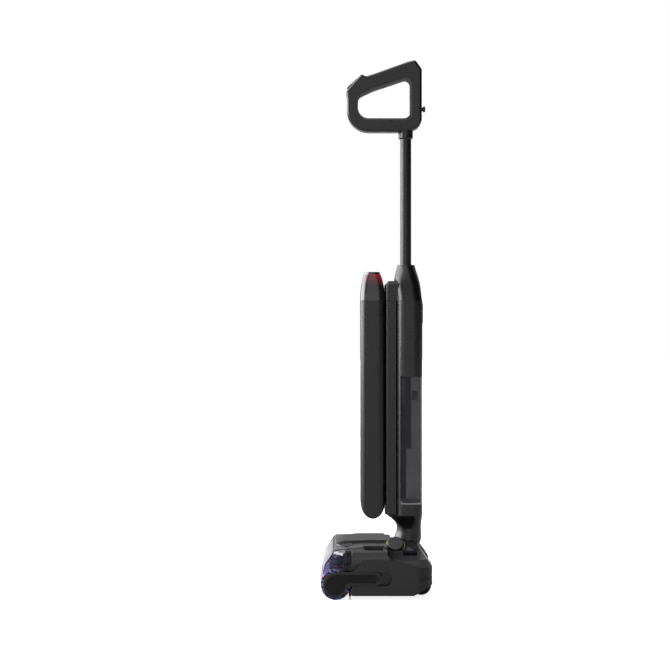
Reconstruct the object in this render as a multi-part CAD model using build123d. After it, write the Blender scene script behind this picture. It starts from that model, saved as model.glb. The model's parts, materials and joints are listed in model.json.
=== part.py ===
from build123d import *
import math
import os

# Cordless wet and dry floor scrubber, standing upright on its roller and rear wheels.
# Millimetres. +Z is up, -X is the front of the machine, -Y is the near side with the roller arm.
# The origin is on the floor, under the middle of the whole machine.

os.makedirs("parts", exist_ok=True)

# ---- floor head ----
HEAD_FRONT = -96.0
HEAD_REAR = 114.0
HEAD_HALF = 128.0
SOLE_Z = 10.0
DECK_Z = 107.0
SHOULDER_R = 25.0
NOSE_HALF = 121.0
NOSE_CORNER_R = 26.0
FRONT_CORNER_R = 27.0
REAR_CORNER_R = 36.0
HEAD_WALL = 2.6
LENS_WALL = 2.2
LINE_X = -50.0

ROLLER_X = -83.0
ROLLER_R = 31.0
FLEECE_NEAR = -119.0
FLEECE_FAR = 108.0
CORE_R = 24.0
HUB_R = 16.0
PULLEY_R = 8.0
MOTOR_X = -22.0
MOTOR_Z = 32.0
ARM_FACE = -119.6
ARM_Z = 44.1
ARM_HALF = 13.9
ARM_END = -3.0
SPINDLE_R = 6.0
DISC_R = 25.0
BAY_R = 33.2

WHEEL_X = 93.5
WHEEL_R = 20.5
WHEEL_IN = 42.0
WHEEL_OUT = 58.0
AXLE_R = 3.0

PIVOT_X = 69.5
PIVOT_Z = 87.0
PIN_R = 6.0
RISER_TOP = 61.0
SLOT_HALF = 36.0
SLOT_Z = 56.0

SWIVEL_X = 67.0
SWIVEL_Z = 98.0
SPIGOT_R = 16.0

KNOB_X = 40.0
KNOB_Y = -60.0
KNOB_Z = 101.0
KNOB_R = 17.8
KNOB_TILT = 45.0

# ---- tower ----
POD_FRONT = -31.2
POD_REAR = 19.7
POD_HALF = 42.0
POD_BOTTOM = 155.0
POD_CORNER_R = 14.0
SPINE_FRONT = 20.2
BODY_FRONT = 42.8
BODY_REAR = 97.5
BODY_HALF = 49.0
SPINE_HALF = 38.0
TOWER_BOTTOM = 163.0
SEAM_Z = 607.0
BAY_X = 51.2
BAY_FLOOR = 185.0
SHELF_Z = 648.0
CONE_Z = 682.0
TOWER_WALL = 2.4
TANK_WALL = 2.2
GAP = 0.4
FAN_X = 68.0
FAN_SHAFT_R = 2.5
FILTER_X = 67.8
FILTER_R = 12.9
RUNNING = 0.05

# ---- pole and handle ----
TUBE_R = 11.75
TUBE_X = 64.0
TUBE_BOTTOM = 622.0
TUBE_TOP = 962.0
HANDLE_HALF = 16.0
PANEL_SLOPE = 48.4
PANEL_LENGTH = 34.0
PANEL_WIDTH = 19.0
POWER_PLACE = 8.0
POWER_R = 6.0
MODE_PLACE = -8.5
MODE_R = 5.0


def save(name, shape):
    """Write one sub-part, or a group of like pieces given as a list."""
    if isinstance(shape, list):
        shape = Compound(children=[solid for piece in shape for solid in piece.solids()])
    export_step(shape, f"parts/{name}.step")


def outline(points, radii):
    """Closed face through the points, with one corner radius for each."""
    return make_face(FilletPolyline(*points, radius=radii, close=True))


def across(face, low, high):
    """Solid of an X-Z outline between two Y planes."""
    return Pos(0, high, 0) * extrude(Plane.XZ * face, amount=high - low)


def upward(face, low, high):
    """Solid of an X-Y outline between two heights."""
    return Pos(0, 0, low) * extrude(face, amount=high - low)


def along(face, low, high):
    """Solid of a Y-Z outline between two X planes."""
    return Pos(low, 0, 0) * extrude(Plane.YZ * face, amount=high - low)


def block(x0, x1, y0, y1, z0, z1):
    """Box between two corners."""
    centre = Pos((x0 + x1) / 2, (y0 + y1) / 2, (z0 + z1) / 2)
    return centre * Box(x1 - x0, y1 - y0, z1 - z0)


def rod_y(radius, x, z, y0, y1):
    """Cylinder along Y."""
    return Pos(x, (y0 + y1) / 2, z) * Rot(90, 0, 0) * Cylinder(radius, y1 - y0)


def rod_z(radius, x, y, z0, z1):
    """Cylinder along Z."""
    return Pos(x, y, (z0 + z1) / 2) * Cylinder(radius, z1 - z0)


def ring_y(outer, inner, x, z, y0, y1):
    """Tube along Y."""
    return rod_y(outer, x, z, y0, y1) - rod_y(inner, x, z, y0 - 1, y1 + 1)


def tube_z(outer, inner, x, y, z0, z1):
    """Tube along Z."""
    return rod_z(outer, x, y, z0, z1) - rod_z(inner, x, y, z0 - 1, z1 + 1)


def section(x0, x1, half, radius):
    """Rounded rectangle in plan, from x0 to x1 and as wide as half to each side."""
    return Pos((x0 + x1) / 2, 0) * RectangleRounded(x1 - x0, 2 * half, radius)


def upright_loft(levels, inset, low, high):
    """Loft through rounded sections given as (height, front, rear, half width, corner radius)."""
    faces = [
        Pos(0, 0, z) * section(front + inset, rear - inset, half - inset, radius - inset)
        for z, front, rear, half, radius in levels
    ]
    return loft(faces) & block(-60, 150, -80, 80, low, high)


def both_sides(solid):
    """The solid and its mirror image across the middle plane."""
    return solid + mirror(solid, about=Plane.XZ)


# ---------------------------------------------------------------- floor head


def head_block(inset):
    """Outer form of the head, drawn in by an inset all round."""
    plan = outline(
        [
            (HEAD_FRONT + inset, -HEAD_HALF + inset),
            (HEAD_REAR - inset, -HEAD_HALF + inset),
            (HEAD_REAR - inset, HEAD_HALF - inset),
            (HEAD_FRONT + inset, HEAD_HALF - inset),
        ],
        [FRONT_CORNER_R - inset, REAR_CORNER_R - inset, REAR_CORNER_R - inset, FRONT_CORNER_R - inset],
    )
    solid = upward(plan, SOLE_Z + inset, DECK_Z - inset)
    top = solid.faces().sort_by(Axis.Z)[-1]
    solid = fillet(top.edges(), SHOULDER_R - inset)
    return solid & across(head_profile(inset), -HEAD_HALF, HEAD_HALF) - shoulder_scoop(inset)


def head_profile(inset):
    """Side outline that slopes the hood, the rear deck and the rear of the sole."""
    rear = HEAD_REAR + 6 - inset
    deck = DECK_Z + 2 - inset
    points = [
        (-102, 0),
        (72, 8.5 + inset),
        (rear, 33 + inset),
        (rear, 58.3 - inset),
        (82, deck),
        (-10, deck),
        (-102, 99.3 - inset),
    ]
    return outline(points, [0, 22, 12, 6, 12, 40, 0])


def shoulder_scoop(inset):
    """Long slopes beside the neck, cut from the rear half of both shoulders."""
    slope = outline([(-38, DECK_Z - inset), (-150, 75.2 - inset), (-150, 130), (-38, 130)], [0, 0, 0, 0])
    wedge = along(slope, 22 - inset, 130)
    front_edge = wedge.edges().filter_by_position(Axis.X, 21 - inset, 23 - inset)
    sloped = front_edge.sort_by(Axis.Z)[0]
    return both_sides(fillet(sloped, 12))


def arm_slot(y0, y1, grow):
    """Recess in the near wall that the roller arm lies in, with finger room behind it."""
    return across(
        outline(
            [(-70, 29.6 - grow), (31 + grow, 29.6 - grow), (31 + grow, 58.6 + grow), (-70, 58.6 + grow)],
            [0, 14.4 + grow, 14.4 + grow, 0],
        ),
        y0,
        y1,
    )


def wheel_room(grow):
    """Space that each rear wheel turns in."""
    gap = 1.5 + grow
    return both_sides(rod_y(WHEEL_R + gap, WHEEL_X, WHEEL_R, WHEEL_IN - gap, WHEEL_OUT + gap))


def neck_slot():
    """Slot in the rear of the head that the neck leans back into."""
    return block(SWIVEL_X - 30.5, HEAD_REAR + 20, -SLOT_HALF, SLOT_HALF, SLOT_Z, 140)


def pivot_notch():
    """Open recess on each side that shows the pivot caps."""
    return both_sides(notch_form(14.5, 62, 104))


def notch_form(radius, y0, y1):
    """U shape round the pivot, open at the top."""
    opening = block(PIVOT_X - radius, PIVOT_X + radius, y0, y1, PIVOT_Z, 130)
    return rod_y(radius, PIVOT_X, PIVOT_Z, y0, y1) + opening


def knob_place():
    """Frame on the near slope, with its Z axis along the knob's own axis."""
    return Pos(KNOB_X, KNOB_Y, KNOB_Z) * Rot(KNOB_TILT, 0, 0)


def chassis_tray(outer):
    """Sole plate with wells for the rear wheels."""
    sole = outer & block(LINE_X - 0.5, 130, -130, 130, SOLE_Z, SOLE_Z + HEAD_WALL)
    wells = (wheel_room(1.6) & outer & block(0, 130, -100, 100, SOLE_Z, 80)) - wheel_room(0)
    tray = (sole - wheel_room(0)) + wells
    rib = block(-20, 60, -1.2, 1.2, SOLE_Z + HEAD_WALL, 17.4)
    lip = block(-55.5, LINE_X - 0.5, -114, 114, SOLE_Z, SOLE_Z + 4)
    bores = both_sides(rod_y(AXLE_R, WHEEL_X, WHEEL_R, 30, 70))
    return tray + rib + lip - bores - head_screws() - across(drive_outline(0.2), 123.8, 140)


def side_housing(shell, outer):
    """Ring of side and rear walls, with the arm recess in the near wall."""
    region = across(
        outline(
            [
                (-62, 12.6),
                (-62, 40),
                (-50, 55),
                (-32, 74),
                (-32, 82),
                (43, 82),
                (88, 66),
                (130, 66),
                (130, 12.6),
            ],
            [0] * 9,
        ),
        -130,
        130,
    )
    walls = (shell & region) - rod_y(BAY_R, ROLLER_X, ROLLER_R, -140, 140)
    liner = (outer & arm_slot(-130, -115.6, 2.4) & block(-50.5, 40, -130, -110, 12.6, 66)) - rod_y(
        BAY_R, ROLLER_X, ROLLER_R, -140, 140
    )
    walls = (walls + liner) - arm_slot(-140, -118.2, 0)
    return walls - neck_slot() - wheel_room(1.65) - across(drive_outline(0.2), 120, 140)


def top_cover(shell, outer):
    """Deck and shoulders behind the hood, with the bulkhead that closes the roller bay."""
    region = across(
        outline(
            [
                (-49.6, 74.3),
                (-32.3, 74.3),
                (-32.3, 82.2),
                (43.1, 82.2),
                (88.1, 66.2),
                (130, 66.2),
                (130, 120),
                (-49.6, 120),
            ],
            [0] * 8,
        ),
        -130,
        130,
    )
    bulkhead = outer & block(-49.6, -47.2, -124.5, 124.5, 74.3, 120)
    bulkhead = bulkhead + block(-49.6, -47.2, -121, 121, 63, 74.3)
    cover = (shell & region) + bulkhead
    boss = knob_place() * (Pos(0, 0, -8) * Cone(26, 20.6, 14))
    boss = (boss - head_block(HEAD_WALL)) & block(0, 80, -110, -46.6, 70, 130)
    cover = cover + boss + notch_walls(outer)
    cover = cover - knob_place() * Pos(0, 0, 10) * Cylinder(KNOB_R + 2.6, 22.0)
    cover = cover - knob_place() * Pos(0, 0, -8) * Cylinder(5.35, 30)
    cover = cover - neck_slot() - pivot_notch() - both_sides(rod_y(PIN_R, PIVOT_X, PIVOT_Z, 30, 80))
    return cover - block(-26, 16, -119, -97, 86, 120)


def notch_walls(outer):
    """Walls of the two recesses beside the pivots."""
    return both_sides(notch_form(16.5, 60, 106)) & outer


def neck_trough(outer):
    """Trough under the neck, with an ear at each side for the pivot."""
    solid = block(38.5, 110.8, -35.6, 35.6, 53.2, 110) - block(30, 130, -33.4, 33.4, 56, 130)
    solid = solid & outer
    ear = rod_y(14, PIVOT_X, PIVOT_Z, 31.8, 35.6) + block(PIVOT_X - 14, PIVOT_X + 14, 31.8, 35.6, 55, PIVOT_Z)
    solid = solid + both_sides(ear)
    hose = rod_z(11, PIVOT_X - 2, 0, 40, 60)
    return solid - rod_y(PIN_R, PIVOT_X, PIVOT_Z, -40, 40) - hose


def pivot_caps():
    """Two headed pins that the neck tilts on."""
    pin = rod_y(PIN_R, PIVOT_X, PIVOT_Z, 17, 64)
    cap = rod_y(12.5, PIVOT_X, PIVOT_Z, 64, 68)
    cap = fillet(cap.edges().sort_by(Axis.Y)[-1:], 1.5)
    return both_sides(pin + cap)


def roller_tunnel():
    """Liner behind the roller, with the suction mouth in its middle."""
    near, far = -115.4, 109.6
    ring = ring_y(BAY_R + 2.6, BAY_R, ROLLER_X, ROLLER_R, near, far)
    behind = [(ROLLER_X, ROLLER_R), (-62, 14.1), (-40, 14.1), (-40, 64), (-66, 64)]
    sector = across(outline(behind, [0] * 5), near, far)
    shelf = block(-67, -49.8, -122, 122, 60.8, 63)
    mouth = block(-60, -40, -32, 32, 20, 42)
    corner = [(-60, 60.8), (-51, 60.8), (-51, 61.2), (-45.5, 61.2), (-34.5, 71), (-34.5, 73.8), (-60, 73.8)]
    triangle = across(outline(corner, [0] * 7), 122, 124.6)
    solid = (ring & sector) + shelf + both_sides(triangle)
    return solid - mouth - rod_y(BAY_R, ROLLER_X, ROLLER_R, -130, 130)


def suction_duct():
    """Flattened duct from the mouth to the foot of the neck."""
    outer = block(-47.1, 10, -34, 34, 18, 44) + block(10, 80, -16, 16, 18, 44)
    inner = block(-60, 7.6, -31.6, 31.6, 20.4, 41.6) + block(5, 77.6, -13.6, 13.6, 20.4, 41.6)
    riser = tube_z(11, 8.8, PIVOT_X - 2, 0, 42, RISER_TOP)
    hole = rod_z(8.8, PIVOT_X - 2, 0, 40, 60)
    return outer + riser - inner - hole


def squeegee():
    """Rubber blade that trails the roller."""
    return block(-56.3, -51.2, -116, 116, SOLE_Z - 2.2, SOLE_Z) + block(-54.6, -52.9, -116, 116, 0.3, SOLE_Z)


def roller_motor():
    """Geared motor that turns the roller through the belt."""
    can = rod_y(16, MOTOR_X, MOTOR_Z, 40, 104)
    nose = rod_y(8, MOTOR_X, MOTOR_Z, 104, 110)
    foot = block(-36, -8, 50, 96, 12.6, 20)
    return can + nose + foot - motor_shaft_bore()


def motor_shaft_bore():
    """Bore in the motor's nose that its output shaft turns in."""
    return rod_y(3.05, MOTOR_X, MOTOR_Z, 90, 120)


def motor_pulley():
    """Toothed pulley on the motor's output shaft."""
    shaft = rod_y(3.0, MOTOR_X, MOTOR_Z, 92, 111)
    pulley = rod_y(PULLEY_R, MOTOR_X, MOTOR_Z, 111, 120)
    notches = [
        Pos(MOTOR_X + 8.3 * math.cos(a), 0, MOTOR_Z + 8.3 * math.sin(a)) * Rot(90, 0, 0) * Cylinder(0.9, 300)
        for a in [math.radians(30 * i) for i in range(12)]
    ]
    return shaft + (pulley - notches)


def drive_belt():
    """Closed belt from the motor to the roller's drive hub, clear of both by its own slack."""
    return belt_loop(PULLEY_R + 2.2, HUB_R + 2.2) - belt_loop(PULLEY_R + 0.6, HUB_R + 0.6)


def belt_loop(small, large):
    """Flat loop round the motor pulley and the roller hub, 7 mm wide."""
    ends = Pos(MOTOR_X, MOTOR_Z) * Circle(small) + Pos(ROLLER_X, ROLLER_R) * Circle(large)
    return across(make_hull(ends.edges()), 112.0, 119.0)


def arm_outline(inset):
    """Disc over the roller's end with an arm that runs back from its upper half."""
    disc = Pos(ROLLER_X, ROLLER_R) * Circle(DISC_R - inset)
    reach = ARM_END - ROLLER_X
    bar = Pos(ROLLER_X + reach / 2, ARM_Z) * Rectangle(reach, 2 * (ARM_HALF - inset))
    end = Pos(ARM_END, ARM_Z) * Circle(ARM_HALF - inset)
    face = disc + bar + end
    corner = face.vertices().sort_by_distance((ROLLER_X + DISC_R - inset, ARM_Z - ARM_HALF + inset, 0))[0]
    return fillet(corner, 5)


def roller_arm():
    """End cap that holds the roller's near end, with a panel recess in its face."""
    body = across(arm_outline(0), -HEAD_HALF, ARM_FACE)
    body = body - across(arm_outline(3.4), -HEAD_HALF - 1, -HEAD_HALF + 1.4)
    body = body - across(arm_outline(5.4), -HEAD_HALF, -HEAD_HALF + 3.4)
    return body - rod_y(SPINDLE_R, ROLLER_X, ROLLER_R, ARM_FACE - 3, ARM_FACE + 1)


def arm_spindle():
    """Steel stub set in the arm, which the roller's near end turns on."""
    return rod_y(SPINDLE_R, ROLLER_X, ROLLER_R, ARM_FACE - 3, -104)


def arm_panel():
    """Raised panel set into the arm's recess."""
    return across(arm_outline(5.6), -HEAD_HALF + 0.8, -HEAD_HALF + 3.4)


def drive_cover():
    """Fixed cover over the belt on the far side, with a bearing for the roller."""
    plate = across(drive_outline(0), 124.0, HEAD_HALF)
    boss = rod_y(9, ROLLER_X, ROLLER_R, 120.6, 124)
    return plate + boss - rod_y(5 + RUNNING, ROLLER_X, ROLLER_R, 110, 126.5)


def drive_outline(grow):
    """Outline of the drive cover, round the roller's end and the motor."""
    disc = Pos(ROLLER_X, ROLLER_R) * Circle(DISC_R + grow)
    foot = Pos(MOTOR_X, MOTOR_Z) * Circle(14 + grow)
    return make_hull((disc + foot).edges())


def roller_core():
    """Tube of the roller with a plug at the near end and a drive hub at the far end."""
    tube = ring_y(CORE_R, CORE_R - 3, ROLLER_X, ROLLER_R, FLEECE_NEAR + 1, FLEECE_FAR)
    near = rod_y(CORE_R - 3, ROLLER_X, ROLLER_R, FLEECE_NEAR + 1.5, FLEECE_NEAR + 12)
    near = near - rod_y(SPINDLE_R + RUNNING, ROLLER_X, ROLLER_R, -130, -90)
    far = rod_y(CORE_R - 3, ROLLER_X, ROLLER_R, FLEECE_FAR - 10, FLEECE_FAR)
    hub = rod_y(HUB_R, ROLLER_X, ROLLER_R, FLEECE_FAR, 120)
    stub = rod_y(5, ROLLER_X, ROLLER_R, 118, 125.8)
    return tube + near + far + hub + stub


def roller_fleece():
    """Deep pile sleeve on the roller's core."""
    return ring_y(ROLLER_R, CORE_R, ROLLER_X, ROLLER_R, FLEECE_NEAR, FLEECE_FAR)


def water_bar():
    """Pipe with a row of jets that wets the roller from above."""
    pipe = rod_y(3.2, -60, 67.5, -100, 100) - rod_y(2.2, -60, 67.5, -98, 98)
    clips = [block(-61.5, -58.5, y - 3, y + 3, 63, 66) for y in (-80, 0, 80)]
    jets = [Pos(-63.2, y, 67.5) * Rot(0, 90, 0) * Cylinder(0.9, 2.4) for y in range(-90, 91, 20)]
    return pipe + clips + jets


def wheel_axles():
    """One short axle for each rear wheel."""
    axle = rod_y(AXLE_R, WHEEL_X, WHEEL_R, WHEEL_IN - 3, WHEEL_OUT + 3)
    return both_sides(axle)


def wheel_hub(side):
    """Moulded wheel with a boss, a web and a rim."""
    low, high = sorted((side * WHEEL_IN, side * WHEEL_OUT))
    middle = (low + high) / 2
    rim = ring_y(WHEEL_R - 3, WHEEL_R - 5.5, WHEEL_X, WHEEL_R, low, high)
    web = rod_y(WHEEL_R - 5, WHEEL_X, WHEEL_R, middle - 2, middle + 2)
    boss = rod_y(6.5, WHEEL_X, WHEEL_R, low, high)
    holes = [
        Pos(WHEEL_X + 11 * math.cos(a), 0, WHEEL_R + 11 * math.sin(a)) * Rot(90, 0, 0) * Cylinder(2.2, 200)
        for a in [math.radians(60 * i) for i in range(6)]
    ]
    return rim + web + boss - holes - rod_y(AXLE_R + RUNNING, WHEEL_X, WHEEL_R, low - 1, high + 1)


def wheel_tyre(side):
    """Soft tread on the wheel."""
    low, high = sorted((side * WHEEL_IN, side * WHEEL_OUT))
    tyre = rod_y(WHEEL_R, WHEEL_X, WHEEL_R, low, high)
    tyre = fillet(tyre.edges(), 1.5)
    return tyre - rod_y(WHEEL_R - 3, WHEEL_X, WHEEL_R, low - 1, high + 1)


def head_screws():
    """Countersunk screws under the sole plate."""
    places = [(x, y) for x in (-30, 35) for y in (-105, -45, 45, 105)]
    one = Cylinder(3, 2) + Pos(0, 0, 4) * Cylinder(1.4, 7)
    return [Pos(x, y, SOLE_Z - 0.2) * one for x, y in places]


def contact_socket(outer):
    """Recessed charging socket in the near shoulder."""
    body = block(-25.8, 15.8, -118.8, -97.2, 86.2, 104)
    hollow = block(-24, 14, -130, -99, 88.4, 130)
    return (body & outer) - hollow


def contact_prongs():
    """Two sprung charging contacts in the socket."""
    return [block(x - 1, x + 1, -106, -104, 88.4, 97) for x in (-7, 0)]


def nose_form(inset):
    """Forward bow of the hood round the top front of the roller, narrower than the head."""
    side = outline(
        [(-111.5, 40), (-104.8, 73.5), (-93.5, 89), (-85, 103), (-30, 103), (-30, 40)],
        [0, 30, 30, 12, 0, 0],
    )
    half = NOSE_HALF - inset
    front = -114 + inset
    corner = NOSE_CORNER_R - inset
    plan = outline([(front, -half), (-20, -half), (-20, half), (front, half)], [corner, 0, 0, corner])
    if inset:
        side = offset(side, amount=-inset)
    return across(side, -130, 130) & upward(plan, 30, 110)


def clear_hood(outer):
    """Clear hood over the roller, open underneath, whose front edge hangs in front of the pile."""
    points = [(-116, 50), (-96.5, 50), (-96.5, 63), (-59.4, 63), (LINE_X, 74.3), (LINE_X, 120), (-116, 120)]
    region = across(outline(points, [0] * 7), -130, 130)
    form = (outer + nose_form(0)) & region
    hollow = head_block(LENS_WALL) + nose_form(LENS_WALL)
    return form - hollow - rod_y(ROLLER_R + 2, ROLLER_X, ROLLER_R, -140, 140)


def hood_spine(outer):
    """Raised bar along the hood and deck that lifts the hood off."""
    side = [(-86, 92), (-84, 104), (-70, 110.5), (-20, 112), (33, 112), (33, 92)]
    form = across(outline(side, [0, 8, 30, 60, 3, 0]), -46, 46)
    plan = upward(outline([(-86, -46), (33, -46), (33, 46), (-86, 46)], [24, 8, 8, 24]), 80, 130)
    solid = (form & plan) - outer - nose_form(0)
    hollow = block(-72, 28, -42, 42, 60, 109.4)
    return solid - hollow


def release_knob():
    """Round knob on the near slope, domed on top with a flat face."""
    disc = Cylinder(KNOB_R, 9)
    disc = fillet(disc.edges().sort_by(Axis.Z)[-1:], 3)
    stem = Pos(0, 0, -4) * Cylinder(5, 13)
    return knob_place() * (Pos(0, 0, 6.4) * disc + stem)


def knob_ring():
    """Coloured ring that the knob sits in."""
    ring = Cylinder(KNOB_R + 2.4, 4) - Cylinder(KNOB_R + 0.4, 6)
    return knob_place() * Pos(0, 0, 1) * ring


# ---------------------------------------------------------------- neck and tower


def yoke():
    """Joint piece that tilts on the pins and carries the swivel spigot."""
    collar = rod_z(22, SWIVEL_X, 0, PIVOT_Z, SWIVEL_Z)
    barrel = rod_y(10.5, PIVOT_X, PIVOT_Z, -31, 31)
    spigot = rod_z(SPIGOT_R - 0.08, SWIVEL_X, 0, SWIVEL_Z, SWIVEL_Z + 9)
    body = collar + barrel + spigot
    body = body - both_sides(rod_y(PIN_R + RUNNING, PIVOT_X, PIVOT_Z, 16, 40))
    return body - rod_z(9.5, SWIVEL_X, 0, 60, 120)


def neck_form(inset, low, high):
    """Loft of the neck from its round foot to the foot of the body."""
    levels = [
        (SWIVEL_Z + 0.4, 41.5, 92.5, 25.5, 25.0),
        (SWIVEL_Z + 7, 38.2, 95.6, 28.4, 26.0),
        (128.0, 44.9, 96.4, 27.0, 22.0),
        (146.0, 40.5, 96.8, 33.0, 22.0),
        (TOWER_BOTTOM, 22.0, BODY_REAR - 0.4, 44.0, 20.0),
    ]
    return upright_loft(levels, inset, low, high)


def neck_shell():
    """Hollow neck with a bored foot for the swivel."""
    solid = neck_form(0, SWIVEL_Z, TOWER_BOTTOM) - neck_form(TOWER_WALL, SWIVEL_Z + 5, TOWER_BOTTOM + 1)
    return solid - rod_z(SPIGOT_R, SWIVEL_X, 0, 90, 110)


def spine_form(inset, low, high):
    """Rounded bar that joins the pod to the body."""
    face = section(SPINE_FRONT + inset, BODY_FRONT + 6, SPINE_HALF - inset, 7 - inset)
    return upward(face, low, high) & block(0, BODY_FRONT - 0.1 - inset, -60, 60, low, high)


def spine_shell():
    """Hollow spine that holds the battery, behind the clean tank."""
    return spine_form(0, TOWER_BOTTOM, SEAM_Z - GAP) - spine_form(2.0, TOWER_BOTTOM + 3, SEAM_Z - GAP - 3)


def body_form(inset, low, high):
    """Rounded upright of the main body."""
    face = section(BODY_FRONT + inset, BODY_REAR - inset, BODY_HALF - inset, 20 - inset)
    return upward(face, low, high)


def bay_cut(grow):
    """Rear bay that the recovery tank slides into, under a sloping top."""
    points = [
        (BAY_X - grow, BAY_FLOOR - grow),
        (130, BAY_FLOOR - grow),
        (130, 553 + grow),
        (97, 545 + grow),
        (70, 531 + grow),
        (BAY_X - grow, 511 + grow),
    ]
    return across(outline(points, [4, 0, 0, 20, 30, 14]), -60, 60)


def body_shell():
    """Main body with the motor room on top and the tank bay behind."""
    outer = body_form(0, TOWER_BOTTOM, SEAM_Z - GAP)
    inner = body_form(TOWER_WALL, TOWER_BOTTOM + 3, SEAM_Z - GAP - 3)
    bay = bay_cut(0)
    shell = (outer - inner) + (outer & bay_cut(2.0))
    shell = shell - bay
    intake = rod_z(12, FAN_X, 0, 500, 560)
    drain = rod_z(9, SWIVEL_X, 0, 150, 190)
    return shell - intake - drain


def cowl_form(inset, low, high):
    """Loft from the body up to the round mouth that holds the pole."""
    levels = [
        (SEAM_Z, BODY_FRONT, BODY_REAR - 0.2, BODY_HALF, 20.0),
        (630.0, 41.0, 94.4, 44.0, 20.0),
        (SHELF_Z, 40.0, 91.8, 37.0, 20.0),
        (665.0, 42.6, 87.3, 28.0, 20.0),
        (CONE_Z, 46.0, 83.0, 18.5, 18.0),
    ]
    return upright_loft(levels, inset, low, high)


def top_cowl():
    """Shoulder cone and shelf on top of the tower, with the socket for the pole."""
    cone = cowl_form(0, SEAM_Z, CONE_Z) - cowl_form(TOWER_WALL, SEAM_Z - 1, CONE_Z - 12)
    shelf = upward(section(SPINE_FRONT, 60, SPINE_HALF, 7), SEAM_Z, SHELF_Z)
    shelf = chamfer(shelf.faces().sort_by(Axis.Z)[-1].edges().sort_by(Axis.X)[:1], 7)
    shelf = shelf - upward(section(SPINE_FRONT + 2.2, 58, SPINE_HALF - 2.2, 5), SEAM_Z - 1, SHELF_Z - 9.6)
    shelf = shelf - cowl_form(0.6, SEAM_Z - 1, CONE_Z)
    socket = tube_z(TUBE_R + 3.2, TUBE_R, TUBE_X, 0, TUBE_BOTTOM - 8, CONE_Z - 2)
    web = block(TUBE_X - 26, TUBE_X + 24, -1.5, 1.5, 615, 650) - rod_z(TUBE_R + 1, TUBE_X, 0, 600, 690)
    web = web & cowl_form(1.0, SEAM_Z, CONE_Z)
    solid = cone + shelf + socket + web
    solid = solid - rod_z(TUBE_R + RUNNING, TUBE_X, 0, TUBE_BOTTOM - 6, CONE_Z + 5)
    return solid - pole_button_bore(0.35)


def pole_button_bore(grow):
    """Bore through the front of the cone for the pole release."""
    face = SlotOverall(11 + 2 * grow, 5.4 + 2 * grow)
    return Pos(40, 0, 643) * Rot(0, 90, 0) * extrude(face, 14, both=True)


def pole_release():
    """Oval push button in the front of the cone that frees the pole."""
    button = Pos(45, 0, 643) * Rot(0, 90, 0) * extrude(SlotOverall(11, 5.4), 4.6, both=True)
    return button


def cap_form(inset, low, high):
    """Loft of the display cap, narrower towards its top."""
    levels = [
        (SEAM_Z, POD_FRONT + 0.4, POD_REAR - 0.3, POD_HALF - 0.5, 14.0),
        (640.0, POD_FRONT + 2.4, POD_REAR - 2.6, POD_HALF - 3.5, 14.0),
        (664.0, -23.2, 10.6, 32.0, 13.5),
    ]
    return upright_loft(levels, inset, low, high)


def display_cap():
    """Smoked cap on the pod with the display under it."""
    return cap_form(0, SEAM_Z, 662) - cap_form(2.2, SEAM_Z - 1, 663)


def display_disc():
    """Glossy oval plate on top of the cap."""
    face = section(-21.6, 9.6, 31, 13)
    plate = upward(face, 662, 667)
    return fillet(plate.faces().sort_by(Axis.Z)[-1].edges(), 1.4)


def light_ring():
    """Light guide inside the cap."""
    outer = section(-19, 7, 28.5, 10)
    inner = section(-16, 4, 25.5, 8)
    return upward(outer, 634, 661.8) - upward(inner, 634, 661.8)


def control_board():
    """Circuit board under the display."""
    board = block(-18, 6, -24, 24, 620, 621.8)
    chips = [block(x, x + 7, y, y + 7, 621.8, 624) for x, y in ((-14, -12), (-4, 4), (-14, 12))]
    post = block(-8, -4, -30, 30, 608, 620)
    return board + chips + post


def battery_cells():
    """Stack of cells that lie across the spine."""
    cells = [rod_y(9, 31.4, z, -32, 32) for z in range(300, 300 + 12 * 19, 19)]
    straps = block(29, 34, -33, -32, 292, 520) + block(29, 34, 32, 33, 292, 520)
    return cells + [straps]


def suction_motor():
    """Fan housing and motor above the recovery tank."""
    can = rod_z(17, FAN_X, 0, 566, 598)
    fan = tube_z(22, 20, FAN_X, 0, 551, 566) + rod_z(22, FAN_X, 0, 564.5, 567)
    return can + fan - rod_z(FAN_SHAFT_R + RUNNING, FAN_X, 0, 540, 584)


def impeller():
    """Fan wheel with swept blades on its shaft."""
    disc = rod_z(18.5, FAN_X, 0, 561, 562.4)
    shaft = rod_z(FAN_SHAFT_R, FAN_X, 0, 553, 582)
    hub = rod_z(6, FAN_X, 0, 553, 561)
    blades = [
        Pos(FAN_X, 0, 557.2) * Rot(0, 0, 40 * i) * Pos(11.5, 0, 0) * Rot(0, 0, 28) * Box(11, 1, 7.6)
        for i in range(9)
    ]
    return disc + shaft + hub + blades


def water_pump():
    """Small pump in the foot of the body."""
    can = rod_y(8.6, 31.4, 178, -20, 12)
    head = block(24, 39, 12, 24, 170, 186)
    return can + head


# ---------------------------------------------------------------- tanks


def pod_foot(inset):
    """Side outline that narrows the foot of the pod."""
    middle = (POD_FRONT + POD_REAR) / 2
    half = (POD_REAR - POD_FRONT) / 2 - inset
    dome = Pos(middle, POD_BOTTOM + 34) * Ellipse(half, 34 - inset)
    shaft = Pos(middle, 400) * Rectangle(2 * half, 2 * (400 - POD_BOTTOM - 34))
    return across(dome + shaft, -60, 60)


def pod_section(inset, low, high):
    """Rounded upright of the pod, drawn in by an inset all round."""
    face = section(POD_FRONT + inset, POD_REAR - inset, POD_HALF - inset, POD_CORNER_R - inset)
    return upward(face, low, high)


def clean_tank():
    """Removable clean water tank at the front."""
    outer = pod_section(0, POD_BOTTOM, SEAM_Z - GAP) & pod_foot(0)
    inner = pod_section(TANK_WALL, 150, SEAM_Z - 3.6) & pod_foot(TANK_WALL)
    mouth = rod_z(11, -6, 0, SEAM_Z - 20, SEAM_Z + 5) + rod_z(14.2, -6, 0, SEAM_Z - 2, SEAM_Z + 5)
    groove = strip_form(1.0)
    return outer - inner - mouth - groove


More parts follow.
